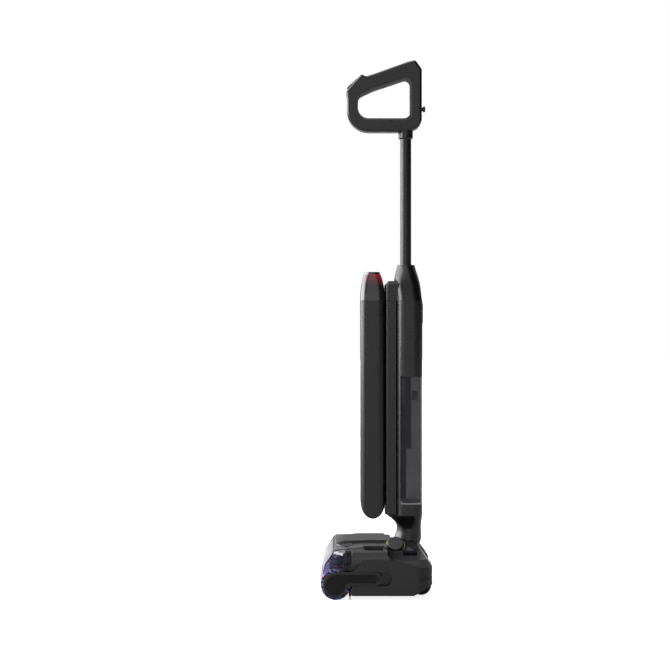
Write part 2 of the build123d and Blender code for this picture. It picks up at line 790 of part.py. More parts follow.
def strip_form(depth):
    """Thin slit round the pod, just behind its front corners."""
    slit = block(-21.4, -20.4, -60, 60, POD_BOTTOM, SEAM_Z + 5)
    core = pod_section(depth, 100, SEAM_Z + 6)
    return slit - core - block(-60, 60, -60, 60, 100, POD_BOTTOM + 22)


def tank_plug():
    """Filler plug in the top of the clean tank."""
    plug = rod_z(10.8, -6, 0, SEAM_Z - 9, SEAM_Z - 2) + rod_z(14, -6, 0, SEAM_Z - 2, SEAM_Z - GAP)
    return plug - tube_z(12, 9, -6, 0, SEAM_Z - 1.2, SEAM_Z + 5)


def tank_form(inset):
    """Outer form of the recovery tank, flush with the body."""
    return body_form(inset, BAY_FLOOR, 560) & (bay_cut(-GAP - inset))


def recovery_vessel():
    """Clear vessel of the recovery tank, open at its top."""
    lower = block(0, 200, -60, 60, BAY_FLOOR, 451)
    outer = tank_form(0) & lower
    inner = tank_form(TANK_WALL) & block(0, 200, -60, 60, BAY_FLOOR + 3, 460)
    return outer - inner


def recovery_lid():
    """Opaque grip part that closes the recovery tank, with a finger pocket at the rear."""
    outer = tank_form(0) & block(0, 200, -60, 60, 451.2, 560)
    low = tank_form(2.4) & block(0, 200, -60, 60, 440, 474)
    front = tank_form(2.4) & block(0, 81, -60, 60, 440, 500)
    roof = (tank_form(3.0) & block(55, 81, -44, 44, 503, 522)) - rod_z(14.4, FAN_X, 0, 495, 545)
    recess = block(BODY_REAR - 2.4, 120, -24, 24, 478, 515)
    pocket = block(BODY_REAR - 14, 120, -22, 22, 480, 499)
    latch_seat = block(BODY_REAR - 13.5, 120, -17.4, 17.4, 501.6, 513.4)
    pipe = rod_z(12, FAN_X, 0, 495, 545)
    return outer - low - front - roof - recess - pocket - latch_seat - pipe


def recovery_standpipe():
    """Inlet pipe and baffle inside the recovery tank."""
    back = block(54.2, 74, -30, 30, 300, 449) - block(56.2, 72, -28, 28, 298, 440)
    pipe = block(54.2, 65, -14, 14, BAY_FLOOR + 11, 300) - block(56.2, 63, -12, 12, 180, 302)
    shoulder = block(54.2, 74, -30, 30, 300, 302.4) - block(56.2, 63, -12, 12, 296, 304)
    return back + pipe + shoulder


def recovery_filter():
    """Round pleated filter under the suction outlet."""
    ribs = [Pos(FILTER_X, 0, 486) * Rot(0, 0, 15 * i) * Pos(9.4, 0, 0) * Box(5.6, 1, 22) for i in range(24)]
    core = tube_z(7, 5.5, FILTER_X, 0, 475, 497)
    plate = tube_z(FILTER_R, 5.5, FILTER_X, 0, 497, 499.5)
    base = rod_z(FILTER_R, FILTER_X, 0, 472.5, 475)
    return core + plate + base + ribs


def float_ball():
    """Float that shuts the suction when the recovery tank is full."""
    return block(78, 90, -8, 8, 400, 420)


def tank_latch():
    """Push latch above the finger pocket of the recovery tank."""
    return block(BODY_REAR - 10.5, BODY_REAR - 1.0, -17, 17, 502, 513)


# ---------------------------------------------------------------- pole and handle


def pole_tube():
    """Thin tube between the tower and the handle."""
    return tube_z(TUBE_R, TUBE_R - 1.4, TUBE_X, 0, TUBE_BOTTOM, TUBE_TOP)


def handle_outline():
    """Outer D of the handle loop with its slanted button panel."""
    points = [
        (-59, 960), (47, 960), (97.5, 966), (97.5, 1092), (84, 1111), (66, 1106.5), (-4, 1081.5),
        (-20, 1076.5), (-29, 1081.5), (-61, 1045.5), (-59, 1030),
    ]
    return outline(points, [46, 40, 26, 8, 7, 10, 10, 10, 4, 6, 10])


def hole_outline(grow):
    """Opening of the loop, grown all round for the grip lining."""
    points = [(-36, 988.5), (72.8, 988.5), (72.8, 1074), (-6, 1047.5), (-36, 1033)]
    face = outline(points, [22, 13, 11, 20, 14])
    return offset(face, amount=grow) if grow else face


def handle_form():
    """Handle loop, rounded along both faces, with the stub that takes the tube."""
    loop = across(handle_outline(), -HANDLE_HALF, HANDLE_HALF)
    faces = loop.faces().sort_by(Axis.Y)
    loop = fillet(faces[0].edges() + faces[-1].edges(), 5.5)
    stub = rod_z(15.2, TUBE_X, 0, 946, 975)
    stub = chamfer(stub.edges().sort_by(Axis.Z)[:1], 2.5)
    loop = loop + stub
    lining = across(hole_outline(5.0), -HANDLE_HALF - 5, HANDLE_HALF + 5)
    return loop - lining - rod_z(TUBE_R, TUBE_X, 0, 930, TUBE_TOP)


def handle_half(side):
    """One moulded half of the handle, hollowed between its walls."""
    low, high = sorted((0, side * 40))
    solid = handle_form() & block(-90, 120, low, high, 930, 1130)
    return solid - panel_seat(0.2) - nub_seat()


def grip_band():
    """Soft lining round the inside of the loop, with bevelled edges."""
    ring = across(hole_outline(4.8), -HANDLE_HALF + 1, HANDLE_HALF - 1)
    ring = ring - across(hole_outline(0), -40, 40)
    return ring


def panel_place():
    """Frame on the slanted front of the handle, with Z pointing out of the panel."""
    return Pos(-45, 0, 1063.5) * Rot(0, PANEL_SLOPE - 90, 0)


def panel_seat(grow):
    """Seat of the button panel."""
    return panel_place() * Box(PANEL_LENGTH + 2 * grow, PANEL_WIDTH + 2 * grow, 5)


def button_panel():
    """Plate on the slanted front that carries the buttons."""
    plate = panel_place() * Pos(0, 0, -0.4) * Box(PANEL_LENGTH, PANEL_WIDTH, 4)
    bores = [
        panel_place() * Pos(place, 0, 0) * Cylinder(radius + 0.3, 12)
        for place, radius in ((POWER_PLACE, POWER_R), (MODE_PLACE, MODE_R))
    ]
    return plate - bores


def push_button(offset_x, radius):
    """Round button that stands in the panel."""
    button = Cylinder(radius, 3.4)
    button = fillet(button.edges().sort_by(Axis.Z)[-1:], 0.8)
    return panel_place() * Pos(offset_x, 0, 1.1) * button


def nub_seat():
    """Bore for the small button on the rear of the handle."""
    return Pos(95, 0, 1009) * Rot(0, 90, 0) * Cylinder(4.5, 12)


def nub_button():
    """Small mushroom button on the rear of the handle."""
    stem = Pos(97, 0, 1009) * Rot(0, 90, 0) * Cylinder(4.1, 8)
    head = Pos(102.9, 0, 1009) * Rot(0, 90, 0) * Cylinder(6, 4.6)
    head = fillet(head.edges().sort_by(Axis.X)[-1:], 1.8)
    return stem + head


def main():
    """Build every sub-part and write it."""
    outer = head_block(0)
    shell = outer - head_block(HEAD_WALL)
    save("chassis_tray", chassis_tray(outer))
    save("side_housing", side_housing(shell, outer))
    save("top_cover", top_cover(shell, outer))
    save("neck_trough", neck_trough(outer))
    save("pivot_caps", pivot_caps())
    save("roller_tunnel", roller_tunnel())
    save("suction_duct", suction_duct())
    save("squeegee", squeegee())
    save("roller_motor", roller_motor())
    save("motor_pulley", motor_pulley())
    save("drive_belt", drive_belt())
    save("drive_cover", drive_cover())
    save("roller_arm", roller_arm())
    save("arm_panel", arm_panel())
    save("arm_spindle", arm_spindle())
    save("roller_core", roller_core())
    save("roller_fleece", roller_fleece())
    save("water_bar", water_bar())
    save("wheel_axles", wheel_axles())
    for side, word in ((-1, "near"), (1, "far")):
        save(f"wheel_hub_{word}", wheel_hub(side))
        save(f"wheel_tyre_{word}", wheel_tyre(side))
        save(f"handle_{word}", handle_half(side))
    save("head_screws", head_screws())
    save("contact_socket", contact_socket(outer))
    save("contact_prongs", contact_prongs())
    save("clear_hood", clear_hood(outer))
    save("hood_spine", hood_spine(outer))
    save("release_knob", release_knob())
    save("knob_ring", knob_ring())
    save("yoke", yoke())
    save("neck_shell", neck_shell())
    save("spine_shell", spine_shell())
    save("body_shell", body_shell())
    save("top_cowl", top_cowl())
    save("pole_release", pole_release())
    save("display_cap", display_cap())
    save("display_disc", display_disc())
    save("light_ring", light_ring())
    save("control_board", control_board())
    save("battery_cells", battery_cells())
    save("suction_motor", suction_motor())
    save("impeller", impeller())
    save("water_pump", water_pump())
    save("clean_tank", clean_tank())
    save("tank_plug", tank_plug())
    save("recovery_vessel", recovery_vessel())
    save("recovery_lid", recovery_lid())
    save("recovery_standpipe", recovery_standpipe())
    save("recovery_filter", recovery_filter())
    save("float_ball", float_ball())
    save("tank_latch", tank_latch())
    save("pole_tube", pole_tube())
    save("grip_band", grip_band())
    save("button_panel", button_panel())
    save("power_button", push_button(POWER_PLACE, POWER_R))
    save("mode_button", push_button(MODE_PLACE, MODE_R))
    save("nub_button", nub_button())


main()
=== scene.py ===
import json
import math
import random

import bmesh
import bpy
from bpy.props import FloatProperty, FloatVectorProperty, IntProperty, PointerProperty
from bpy.types import Operator, Panel, PropertyGroup
from mathutils import Matrix, Vector, noise


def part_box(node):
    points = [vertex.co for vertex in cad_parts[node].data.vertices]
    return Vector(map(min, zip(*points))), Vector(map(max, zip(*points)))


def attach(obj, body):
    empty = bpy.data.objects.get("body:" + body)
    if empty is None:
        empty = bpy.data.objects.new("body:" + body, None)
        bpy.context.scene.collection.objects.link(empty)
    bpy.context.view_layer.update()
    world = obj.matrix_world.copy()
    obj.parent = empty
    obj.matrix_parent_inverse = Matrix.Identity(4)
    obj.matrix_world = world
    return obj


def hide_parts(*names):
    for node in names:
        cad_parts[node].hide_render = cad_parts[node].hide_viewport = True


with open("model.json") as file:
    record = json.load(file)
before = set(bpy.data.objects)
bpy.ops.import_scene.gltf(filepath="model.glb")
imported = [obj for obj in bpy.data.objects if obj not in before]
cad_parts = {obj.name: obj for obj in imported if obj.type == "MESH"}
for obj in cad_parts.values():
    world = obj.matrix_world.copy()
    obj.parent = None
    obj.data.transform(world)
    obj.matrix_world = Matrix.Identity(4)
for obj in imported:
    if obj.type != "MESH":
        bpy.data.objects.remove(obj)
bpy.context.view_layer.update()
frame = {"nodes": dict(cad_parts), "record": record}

bl_info = {
    "name": "Floor Scrubber Finisher",
    "version": (1, 0, 0),
    "blender": (4, 5, 0),
    "location": "View3D > Sidebar > Scrubber",
    "description": "Dresses the packed floor scrubber with finishes, pile, trims and a studio",
    "category": "Object",
}

MM = 0.001
NODES = frame["nodes"]
SLOT_OF = {entry["node"]: entry["material_slot"] for entry in frame["record"]["subparts"]}


# ---------------------------------------------------------------- settings


def length(name, description, default):
    """A length that the user can change."""
    return FloatProperty(name=name, description=description, default=default, unit="LENGTH", precision=4)


def colour(name, description, default):
    """A colour that the user can change."""
    return FloatVectorProperty(
        name=name, description=description, default=default, subtype="COLOR", size=3, min=0, max=1
    )


class ScrubberSizes(PropertyGroup):
    """Sizes of the dressed pieces."""

    pile_relief: length("Pile relief", "How deep the gaps between the roller's tufts are", 1.6 * MM)
    strand: length("Strand length", "Length of a loose strand of the roller's pile", 3.4 * MM)
    strands: IntProperty(name="Strands", description="How many loose strands the pile shows", default=9000)
    tread_depth: length("Tread depth", "Depth of the grooves in the rear tyres", 1.0 * MM)
    trim: length("Trim thickness", "Thickness of seams and trims that lie on a surface", 0.5 * MM)
    edge: length("Edge softness", "Radius that light sees along moulded edges", 0.6 * MM)


class ScrubberColours(PropertyGroup):
    """Colours of the finishes."""

    shell: colour("Shell", "Satin black of the tower and handle", (0.0042, 0.0042, 0.0046))
    pod: colour("Pod", "Black of the clean tank", (0.0040, 0.0040, 0.0044))
    housing: colour("Housing", "Dark grey of the head's side walls", (0.0042, 0.0042, 0.0045))
    cover: colour("Cover", "Gloss grey of the head's deck", (0.022, 0.022, 0.023))
    grip: colour("Grip", "Grey of the handle's soft lining", (0.040, 0.040, 0.042))
    blue: colour("Pile blue", "Blue tufts of the roller", (0.012, 0.020, 0.26))
    pale: colour("Pile white", "White tufts of the roller", (0.50, 0.52, 0.74))
    red: colour("Pile red", "Red stripes of the roller", (0.42, 0.035, 0.045))
    glow: colour("Display glow", "Light under the display cap", (0.75, 0.02, 0.05))
    amber: colour("Amber", "Ring round the release knob", (0.30, 0.27, 0.10))


def sizes():
    """The sizes in use."""
    return bpy.context.scene.scrubber_sizes


def colours():
    """The colours in use."""
    return bpy.context.scene.scrubber_colours


# ---------------------------------------------------------------- shader helpers


def link(tree, source, target):
    """Join two sockets."""
    tree.links.new(source, target)


def node(tree, kind, **values):
    """Add a shader node and set its plain properties."""
    made = tree.nodes.new(kind)
    for key, value in values.items():
        setattr(made, key, value)
    return made


def math_node(tree, operation, first, second=None, clamp=False):
    """Add a Math node whose inputs are sockets or numbers."""
    made = node(tree, "ShaderNodeMath", operation=operation, use_clamp=clamp)
    for index, value in enumerate((first, second)):
        if value is None:
            continue
        if isinstance(value, (int, float)):
            made.inputs[index].default_value = value
        else:
            link(tree, value, made.inputs[index])
    return made.outputs[0]


def mix_colour(tree, factor, first, second, blend="MIX"):
    """Add a colour mix whose inputs are sockets or plain values."""
    made = node(tree, "ShaderNodeMix", data_type="RGBA", blend_type=blend)
    for socket, value in ((made.inputs[0], factor), (made.inputs[6], first), (made.inputs[7], second)):
        if isinstance(value, (int, float)):
            socket.default_value = value
        elif isinstance(value, (tuple, list)):
            socket.default_value = (*value[:3], 1)
        else:
            link(tree, value, socket)
    return made.outputs[2]


def new_group(name, inputs, outputs):
    """Start a shader node group with named sockets."""
    group = bpy.data.node_groups.new(name, "ShaderNodeTree")
    for label, kind, default in inputs:
        socket = group.interface.new_socket(name=label, in_out="INPUT", socket_type=kind)
        socket.default_value = default
    for label, kind in outputs:
        group.interface.new_socket(name=label, in_out="OUTPUT", socket_type=kind)
    return group, group.nodes.new("NodeGroupInput"), group.nodes.new("NodeGroupOutput")


def object_noise(tree, scale, detail=3.0, roughness=0.55):
    """Noise in the piece's own coordinates; scale is a socket or a number."""
    place = node(tree, "ShaderNodeTexCoord").outputs["Object"]
    made = node(tree, "ShaderNodeTexNoise")
    link(tree, place, made.inputs["Vector"])
    made.inputs["Detail"].default_value = detail
    made.inputs["Roughness"].default_value = roughness
    if isinstance(scale, (int, float)):
        made.inputs["Scale"].default_value = scale
    else:
        link(tree, scale, made.inputs["Scale"])
    return made.outputs["Fac"]


def remap(tree, value, low, high, to_low, to_high):
    """Map a range of values onto another, clamped."""
    made = node(tree, "ShaderNodeMapRange")
    link(tree, value, made.inputs["Value"])
    for label, number in (("From Min", low), ("From Max", high), ("To Min", to_low), ("To Max", to_high)):
        if isinstance(number, (int, float)):
            made.inputs[label].default_value = number
        else:
            link(tree, number, made.inputs[label])
    return made.outputs["Result"]


def moulded_group():
    """Moulded plastic or rubber: fine grain, faint handling marks and soft edges that catch wear."""
    group, given, out = new_group(
        "Moulded surface",
        [
            ("Colour", "NodeSocketColor", (0.02, 0.02, 0.02, 1)),
            ("Roughness", "NodeSocketFloat", 0.4),
            ("Grain Scale", "NodeSocketFloat", 1800.0),
            ("Grain Depth", "NodeSocketFloat", 0.1),
            ("Marks", "NodeSocketFloat", 0.1),
            ("Edge Wear", "NodeSocketFloat", 0.2),
            ("Edge Radius", "NodeSocketFloat", 0.0006),
        ],
        [("Colour", "NodeSocketColor"), ("Roughness", "NodeSocketFloat"), ("Normal", "NodeSocketVector")],
    )
    fine = object_noise(group, given.outputs["Grain Scale"], 2.0)
    broad = object_noise(group, 14.0, 4.0, 0.6)
    streak = object_noise(group, 95.0, 5.0, 0.7)
    bevel = node(group, "ShaderNodeBevel", samples=4)
    link(group, given.outputs["Edge Radius"], bevel.inputs["Radius"])
    true_normal = node(group, "ShaderNodeNewGeometry").outputs["Normal"]
    dot = node(group, "ShaderNodeVectorMath", operation="DOT_PRODUCT")
    link(group, bevel.outputs["Normal"], dot.inputs[0])
    link(group, true_normal, dot.inputs[1])
    edge = remap(group, dot.outputs["Value"], 0.985, 0.80, 0.0, 1.0)
    worn = math_node(group, "MULTIPLY", edge, remap(group, streak, 0.35, 0.65, 0.25, 1.0))
    worn = math_node(group, "MULTIPLY", worn, given.outputs["Edge Wear"])
    tone = remap(group, broad, 0.3, 0.7, 0.93, 1.07)
    shade = node(group, "ShaderNodeVectorMath", operation="SCALE")
    link(group, given.outputs["Colour"], shade.inputs[0])
    link(group, tone, shade.inputs["Scale"])
    lighter = mix_colour(group, worn, shade.outputs["Vector"], (0.045, 0.045, 0.047))
    link(group, lighter, out.inputs["Colour"])
    marks = math_node(group, "MULTIPLY", remap(group, streak, 0.3, 0.75, -0.6, 1.0), given.outputs["Marks"])
    rough = math_node(group, "ADD", given.outputs["Roughness"], marks)
    rough = math_node(group, "ADD", rough, math_node(group, "MULTIPLY", worn, 0.15), clamp=True)
    link(group, rough, out.inputs["Roughness"])
    bump = node(group, "ShaderNodeBump")
    bump.inputs["Distance"].default_value = 0.00008
    link(group, given.outputs["Grain Depth"], bump.inputs["Strength"])
    link(group, fine, bump.inputs["Height"])
    link(group, bevel.outputs["Normal"], bump.inputs["Normal"])
    link(group, bump.outputs["Normal"], out.inputs["Normal"])
    return group


def brushed_group():
    """Drawn or turned metal with fine lines along one axis."""
    group, given, out = new_group(
        "Drawn metal",
        [
            ("Colour", "NodeSocketColor", (0.5, 0.5, 0.5, 1)),
            ("Roughness", "NodeSocketFloat", 0.3),
            ("Line Scale", "NodeSocketFloat", 900.0),
        ],
        [("Colour", "NodeSocketColor"), ("Roughness", "NodeSocketFloat"), ("Normal", "NodeSocketVector")],
    )
    place = node(group, "ShaderNodeTexCoord").outputs["Object"]
    stretch = node(group, "ShaderNodeMapping")
    stretch.inputs["Scale"].default_value = (1.0, 1.0, 0.03)
    link(group, place, stretch.inputs["Vector"])
    lines = node(group, "ShaderNodeTexNoise")
    link(group, stretch.outputs["Vector"], lines.inputs["Vector"])
    link(group, given.outputs["Line Scale"], lines.inputs["Scale"])
    tone = remap(group, lines.outputs["Fac"], 0.3, 0.7, 0.82, 1.12)
    shade = node(group, "ShaderNodeVectorMath", operation="SCALE")
    link(group, given.outputs["Colour"], shade.inputs[0])
    link(group, tone, shade.inputs["Scale"])
    link(group, shade.outputs["Vector"], out.inputs["Colour"])
    uneven = remap(group, lines.outputs["Fac"], 0.3, 0.7, -0.06, 0.1)
    rough = math_node(group, "ADD", given.outputs["Roughness"], uneven)
    link(group, rough, out.inputs["Roughness"])
    bump = node(group, "ShaderNodeBump")
    bump.inputs["Distance"].default_value = 0.00004
    bump.inputs["Strength"].default_value = 0.35
    link(group, lines.outputs["Fac"], bump.inputs["Height"])
    link(group, bump.outputs["Normal"], out.inputs["Normal"])
    return group


def new_material(name):
    """Material with an empty tree, its shader and output joined."""
    made = bpy.data.materials.new(name)
    made.use_nodes = True
    tree = made.node_tree
    tree.nodes.clear()
    shader = tree.nodes.new("ShaderNodeBsdfPrincipled")
    output = tree.nodes.new("ShaderNodeOutputMaterial")
    link(tree, shader.outputs["BSDF"], output.inputs["Surface"])
    return made, tree, shader


def moulded(name, tint, rough, grain=0.1, scale=1800.0, marks=0.05, wear=0.15, coat=0.0, specular=0.5):
    """Moulded material built on the shared surface group."""
    made, tree, shader = new_material(name)
    group = node(tree, "ShaderNodeGroup", node_tree=bpy.data.node_groups["Moulded surface"])
    group.inputs["Colour"].default_value = (*tint, 1)
    group.inputs["Roughness"].default_value = rough
    group.inputs["Grain Scale"].default_value = scale
    group.inputs["Grain Depth"].default_value = grain
    group.inputs["Marks"].default_value = marks
    group.inputs["Edge Wear"].default_value = wear
    group.inputs["Edge Radius"].default_value = sizes().edge
    link(tree, group.outputs["Colour"], shader.inputs["Base Color"])
    link(tree, group.outputs["Roughness"], shader.inputs["Roughness"])
    link(tree, group.outputs["Normal"], shader.inputs["Normal"])
    shader.inputs["Coat Weight"].default_value = coat
    shader.inputs["Coat Roughness"].default_value = 0.06
    shader.inputs["Specular IOR Level"].default_value = specular
    return made


def metal(name, tint, rough, scale=900.0):
    """Metal material built on the drawn-metal group."""
    made, tree, shader = new_material(name)
    group = node(tree, "ShaderNodeGroup", node_tree=bpy.data.node_groups["Drawn metal"])
    group.inputs["Colour"].default_value = (*tint, 1)
    group.inputs["Roughness"].default_value = rough
    group.inputs["Line Scale"].default_value = scale
    link(tree, group.outputs["Colour"], shader.inputs["Base Color"])
    link(tree, group.outputs["Roughness"], shader.inputs["Roughness"])
    link(tree, group.outputs["Normal"], shader.inputs["Normal"])
    shader.inputs["Metallic"].default_value = 1.0
    return made


def clear_plastic(name, tint, rough, ior=1.45):
    """Transparent plastic with faint polishing marks in its gloss."""
    made, tree, shader = new_material(name)
    smear = object_noise(tree, 60.0, 4.0, 0.6)
    shader.inputs["Base Color"].default_value = (*tint, 1)
    link(tree, remap(tree, smear, 0.35, 0.75, rough, rough + 0.06), shader.inputs["Roughness"])
    shader.inputs["Transmission Weight"].default_value = 1.0
    shader.inputs["IOR"].default_value = ior
    return made


def hood_plastic():
    """Clear plastic of the hood: nearly colourless along its front edge and smoked behind it."""
    made = clear_plastic("Clear hood", (0.8, 0.8, 0.86), 0.03, 1.22)
    tree = made.node_tree
    shader = tree.nodes["Principled BSDF"]
    split = node(tree, "ShaderNodeSeparateXYZ")
    link(tree, node(tree, "ShaderNodeTexCoord").outputs["Object"], split.inputs[0])
    smoke = remap(tree, split.outputs["X"], -0.104, -0.090, 0.0, 1.0)
    link(tree, mix_colour(tree, smoke, (0.78, 0.78, 0.84), (0.34, 0.34, 0.36)), shader.inputs["Base Color"])
    return made


def fleece_material():
    """Pile of blue and white tufts with two red stripes that wind round the roller."""
    made, tree, shader = new_material("Fleece pile")
    low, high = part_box("roller_fleece")
    middle = (low + high) / 2
    place = node(tree, "ShaderNodeTexCoord").outputs["Object"]
    split = node(tree, "ShaderNodeSeparateXYZ")
    link(tree, place, split.inputs[0])
    across = math_node(tree, "SUBTRACT", split.outputs["X"], middle.x)
    rise = math_node(tree, "SUBTRACT", split.outputs["Z"], middle.z)
    turn = math_node(tree, "DIVIDE", math_node(tree, "ARCTAN2", rise, across), math.tau)
    wind = math_node(tree, "ADD", turn, math_node(tree, "MULTIPLY", split.outputs["Y"], 4.0))
    wobble = object_noise(tree, 260.0, 2.0)
    wind = math_node(tree, "ADD", wind, math_node(tree, "MULTIPLY", wobble, 0.02))
    phase = math_node(tree, "FRACT", math_node(tree, "MULTIPLY", math_node(tree, "ADD", wind, 20.085), 2.0))
    stripe = math_node(tree, "LESS_THAN", phase, 0.065)
    tuft = node(tree, "ShaderNodeTexVoronoi")
    tuft.inputs["Scale"].default_value = 380.0
    link(tree, place, tuft.inputs["Vector"])
    spread = node(tree, "ShaderNodeSeparateColor")
    link(tree, tuft.outputs["Color"], spread.inputs[0])
    patch = object_noise(tree, 150.0, 3.0)
    by_tuft = math_node(tree, "MULTIPLY", spread.outputs[0], 0.6)
    by_patch = math_node(tree, "MULTIPLY", patch, 0.4)
    choice = remap(tree, math_node(tree, "ADD", by_tuft, by_patch), 0.50, 0.56, 0.0, 1.0)
    body = mix_colour(tree, choice, tuple(colours().blue), tuple(colours().pale))
    final = mix_colour(tree, stripe, body, tuple(colours().red))
    # Fine noise darkens the pile: random tone, plus painted shade where the pile is deep between the tufts.
    depth = remap(tree, object_noise(tree, 700.0, 2.0), 0.3, 0.7, 0.55, 1.15)
    shade = node(tree, "ShaderNodeVectorMath", operation="SCALE")
    link(tree, final, shade.inputs[0])
    link(tree, depth, shade.inputs["Scale"])
    link(tree, shade.outputs["Vector"], shader.inputs["Base Color"])
    shader.inputs["Roughness"].default_value = 0.95
    shader.inputs["Specular IOR Level"].default_value = 0.15
    bump = node(tree, "ShaderNodeBump")
    bump.inputs["Distance"].default_value = 0.0006
    bump.inputs["Strength"].default_value = 0.8
    link(tree, tuft.outputs["Distance"], bump.inputs["Height"])
    link(tree, bump.outputs["Normal"], shader.inputs["Normal"])
    return made


def glow_material():
    """Smoked cap, lit red from inside near its top and dark towards its foot."""
    made = moulded("Lit smoked cap", (0.012, 0.011, 0.012), 0.16, grain=0.02, marks=0.03, wear=0.05, coat=0.4)
    tree = made.node_tree
    shader = tree.nodes["Principled BSDF"]
    low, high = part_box("display_cap")
    place = node(tree, "ShaderNodeTexCoord").outputs["Object"]
    split = node(tree, "ShaderNodeSeparateXYZ")
    link(tree, place, split.inputs[0])
    rise = remap(tree, split.outputs["Z"], high.z - 26 * MM, high.z, 0.0, 1.0)
    rise = math_node(tree, "POWER", rise, 1.3)
    back = remap(tree, split.outputs["X"], low.x + 12 * MM, high.x - 4 * MM, 0.55, 1.0)
    front = remap(tree, split.outputs["X"], low.x, low.x + 34 * MM, 1.0, 0.0)
    pink = mix_colour(tree, front, tuple(colours().glow), (0.62, 0.16, 0.20))
    power = math_node(tree, "MULTIPLY", rise, back)
    shade = node(tree, "ShaderNodeVectorMath", operation="SCALE")
    link(tree, pink, shade.inputs[0])
    link(tree, power, shade.inputs["Scale"])
    link(tree, shade.outputs["Vector"], shader.inputs["Emission Color"])
    shader.inputs["Emission Strength"].default_value = 0.32
    return made


def lit_material(name, tint, strength):
    """Lit light guide with a soft unevenness."""
    made, tree, shader = new_material(name)
    uneven = remap(tree, object_noise(tree, 120.0), 0.3, 0.7, 0.75, 1.1)
    shade = node(tree, "ShaderNodeVectorMath", operation="SCALE")
    shade.inputs[0].default_value = tint
    link(tree, uneven, shade.inputs["Scale"])
    link(tree, shade.outputs["Vector"], shader.inputs["Base Color"])
    link(tree, shade.outputs["Vector"], shader.inputs["Emission Color"])
    shader.inputs["Emission Strength"].default_value = strength
    shader.inputs["Roughness"].default_value = 0.35
    return made


def board_material():
    """Green circuit board with paler copper tracks."""
    made = moulded("Circuit board", (0.010, 0.07, 0.03), 0.45, grain=0.1, wear=0.1)
    tree = made.node_tree
    shader = tree.nodes["Principled BSDF"]
    place = node(tree, "ShaderNodeTexCoord").outputs["Object"]
    tracks = node(tree, "ShaderNodeTexBrick")
    tracks.inputs["Scale"].default_value = 180.0
    tracks.inputs["Mortar Size"].default_value = 0.05
    tracks.inputs["Color1"].default_value = (0.012, 0.085, 0.035, 1)
    tracks.inputs["Color2"].default_value = (0.010, 0.065, 0.028, 1)
    tracks.inputs["Mortar"].default_value = (0.18, 0.14, 0.05, 1)
    link(tree, place, tracks.inputs["Vector"])
    link(tree, tracks.outputs["Color"], shader.inputs["Base Color"])
    return made


def build_finishes():
    """One material for each finish of the record, by slot name."""
    paint = colours()
    moulded_group()
    brushed_group()
    return {
        "base_plastic": moulded(
            "Base plastic", (0.0040, 0.0040, 0.0044), 0.50, grain=0.25, scale=1500.0
        ),
        "housing_grey": moulded("Housing plastic", tuple(paint.housing), 0.42, grain=0.22, scale=1400.0),
        "gloss_cover": moulded("Gloss deck", tuple(paint.cover), 0.24, grain=0.02, marks=0.04),
        "satin_black": moulded(
            "Satin shell", tuple(paint.shell), 0.25, grain=0.10, scale=2200.0, marks=0.05
        ),
        "tank_black": moulded(
            "Clean tank black", tuple(paint.pod), 0.24, grain=0.08, scale=2200.0, marks=0.05
        ),
        "tube_black": moulded(
            "Powder coated tube", (0.0045, 0.0045, 0.005), 0.34, grain=0.35, scale=1100.0
        ),
        "soft_grip": moulded("Soft grip", tuple(paint.grip), 0.62, grain=0.35, scale=1300.0, wear=0.05),
        "soft_rubber": moulded(
            "Soft rubber", (0.006, 0.006, 0.0065), 0.62, grain=0.4, scale=900.0, wear=0.1
        ),
        "arm_insert": moulded(
            "Arm insert", (0.0030, 0.0030, 0.0033), 0.50, grain=0.2, scale=1500.0, specular=0.22
        ),
        "pin_steel": metal("Turned steel", (0.55, 0.56, 0.58), 0.28),
        "contact_metal": metal("Plated contact", (0.80, 0.79, 0.76), 0.18),
        "motor_metal": metal("Rolled steel", (0.40, 0.41, 0.43), 0.38, 600.0),
        "pulley_plastic": moulded("Nylon", (0.50, 0.48, 0.42), 0.55, grain=0.2),
        "roller_plastic": moulded("Roller core", (0.05, 0.05, 0.055), 0.5, grain=0.2),
        "fleece": fleece_material(),
        "clear_plastic": hood_plastic(),
        "smoke_clear": clear_plastic("Smoked vessel", (0.14, 0.14, 0.15), 0.05, ior=1.35),
        "smoke_gloss": moulded(
            "Smoked gloss", (0.0045, 0.0045, 0.005), 0.14, grain=0.02, marks=0.04, coat=0.5
        ),
        "display_black": moulded(
            "Display black", (0.004, 0.004, 0.005), 0.08, grain=0.0, marks=0.03, coat=0.8
        ),
        "light_red": lit_material("Light guide", tuple(paint.glow), 1.0),
        "release_red": moulded("Release button", (0.10, 0.008, 0.012), 0.4, grain=0.15),
        "knob_black": moulded("Knob gloss", (0.006, 0.006, 0.0065), 0.30, grain=0.03),
        "amber_ring": moulded("Amber ring", tuple(paint.amber), 0.30, grain=0.05, coat=0.3),
        "board_green": board_material(),
        "cell_wrap": moulded("Cell wrap", (0.03, 0.10, 0.20), 0.30, grain=0.05),
        "impeller_plastic": moulded("Fan wheel plastic", (0.07, 0.07, 0.075), 0.45, grain=0.15),
        "inner_dark": moulded("Inner moulding", (0.0045, 0.0045, 0.005), 0.5, grain=0.2),
        "filter_white": moulded(
            "Filter paper", (0.62, 0.62, 0.58), 0.9, grain=0.6, scale=700.0, wear=0.0
        ),
        "float_white": moulded(
            "Foamed float", (0.70, 0.70, 0.69), 0.7, grain=0.5, scale=900.0, wear=0.0
        ),
        "button_grey": moulded("Button plastic", (0.014, 0.014, 0.015), 0.40, grain=0.15),
    }


FINISH = {}


def dress(piece, body, slot, stands_for=None):
    """Give a new piece its finish, and tie it to its body."""
    piece.data.materials.clear()
    piece.data.materials.append(FINISH[slot])
    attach(piece, body)
    if stands_for:
        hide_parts(stands_for)
    return piece


# ---------------------------------------------------------------- mesh helpers


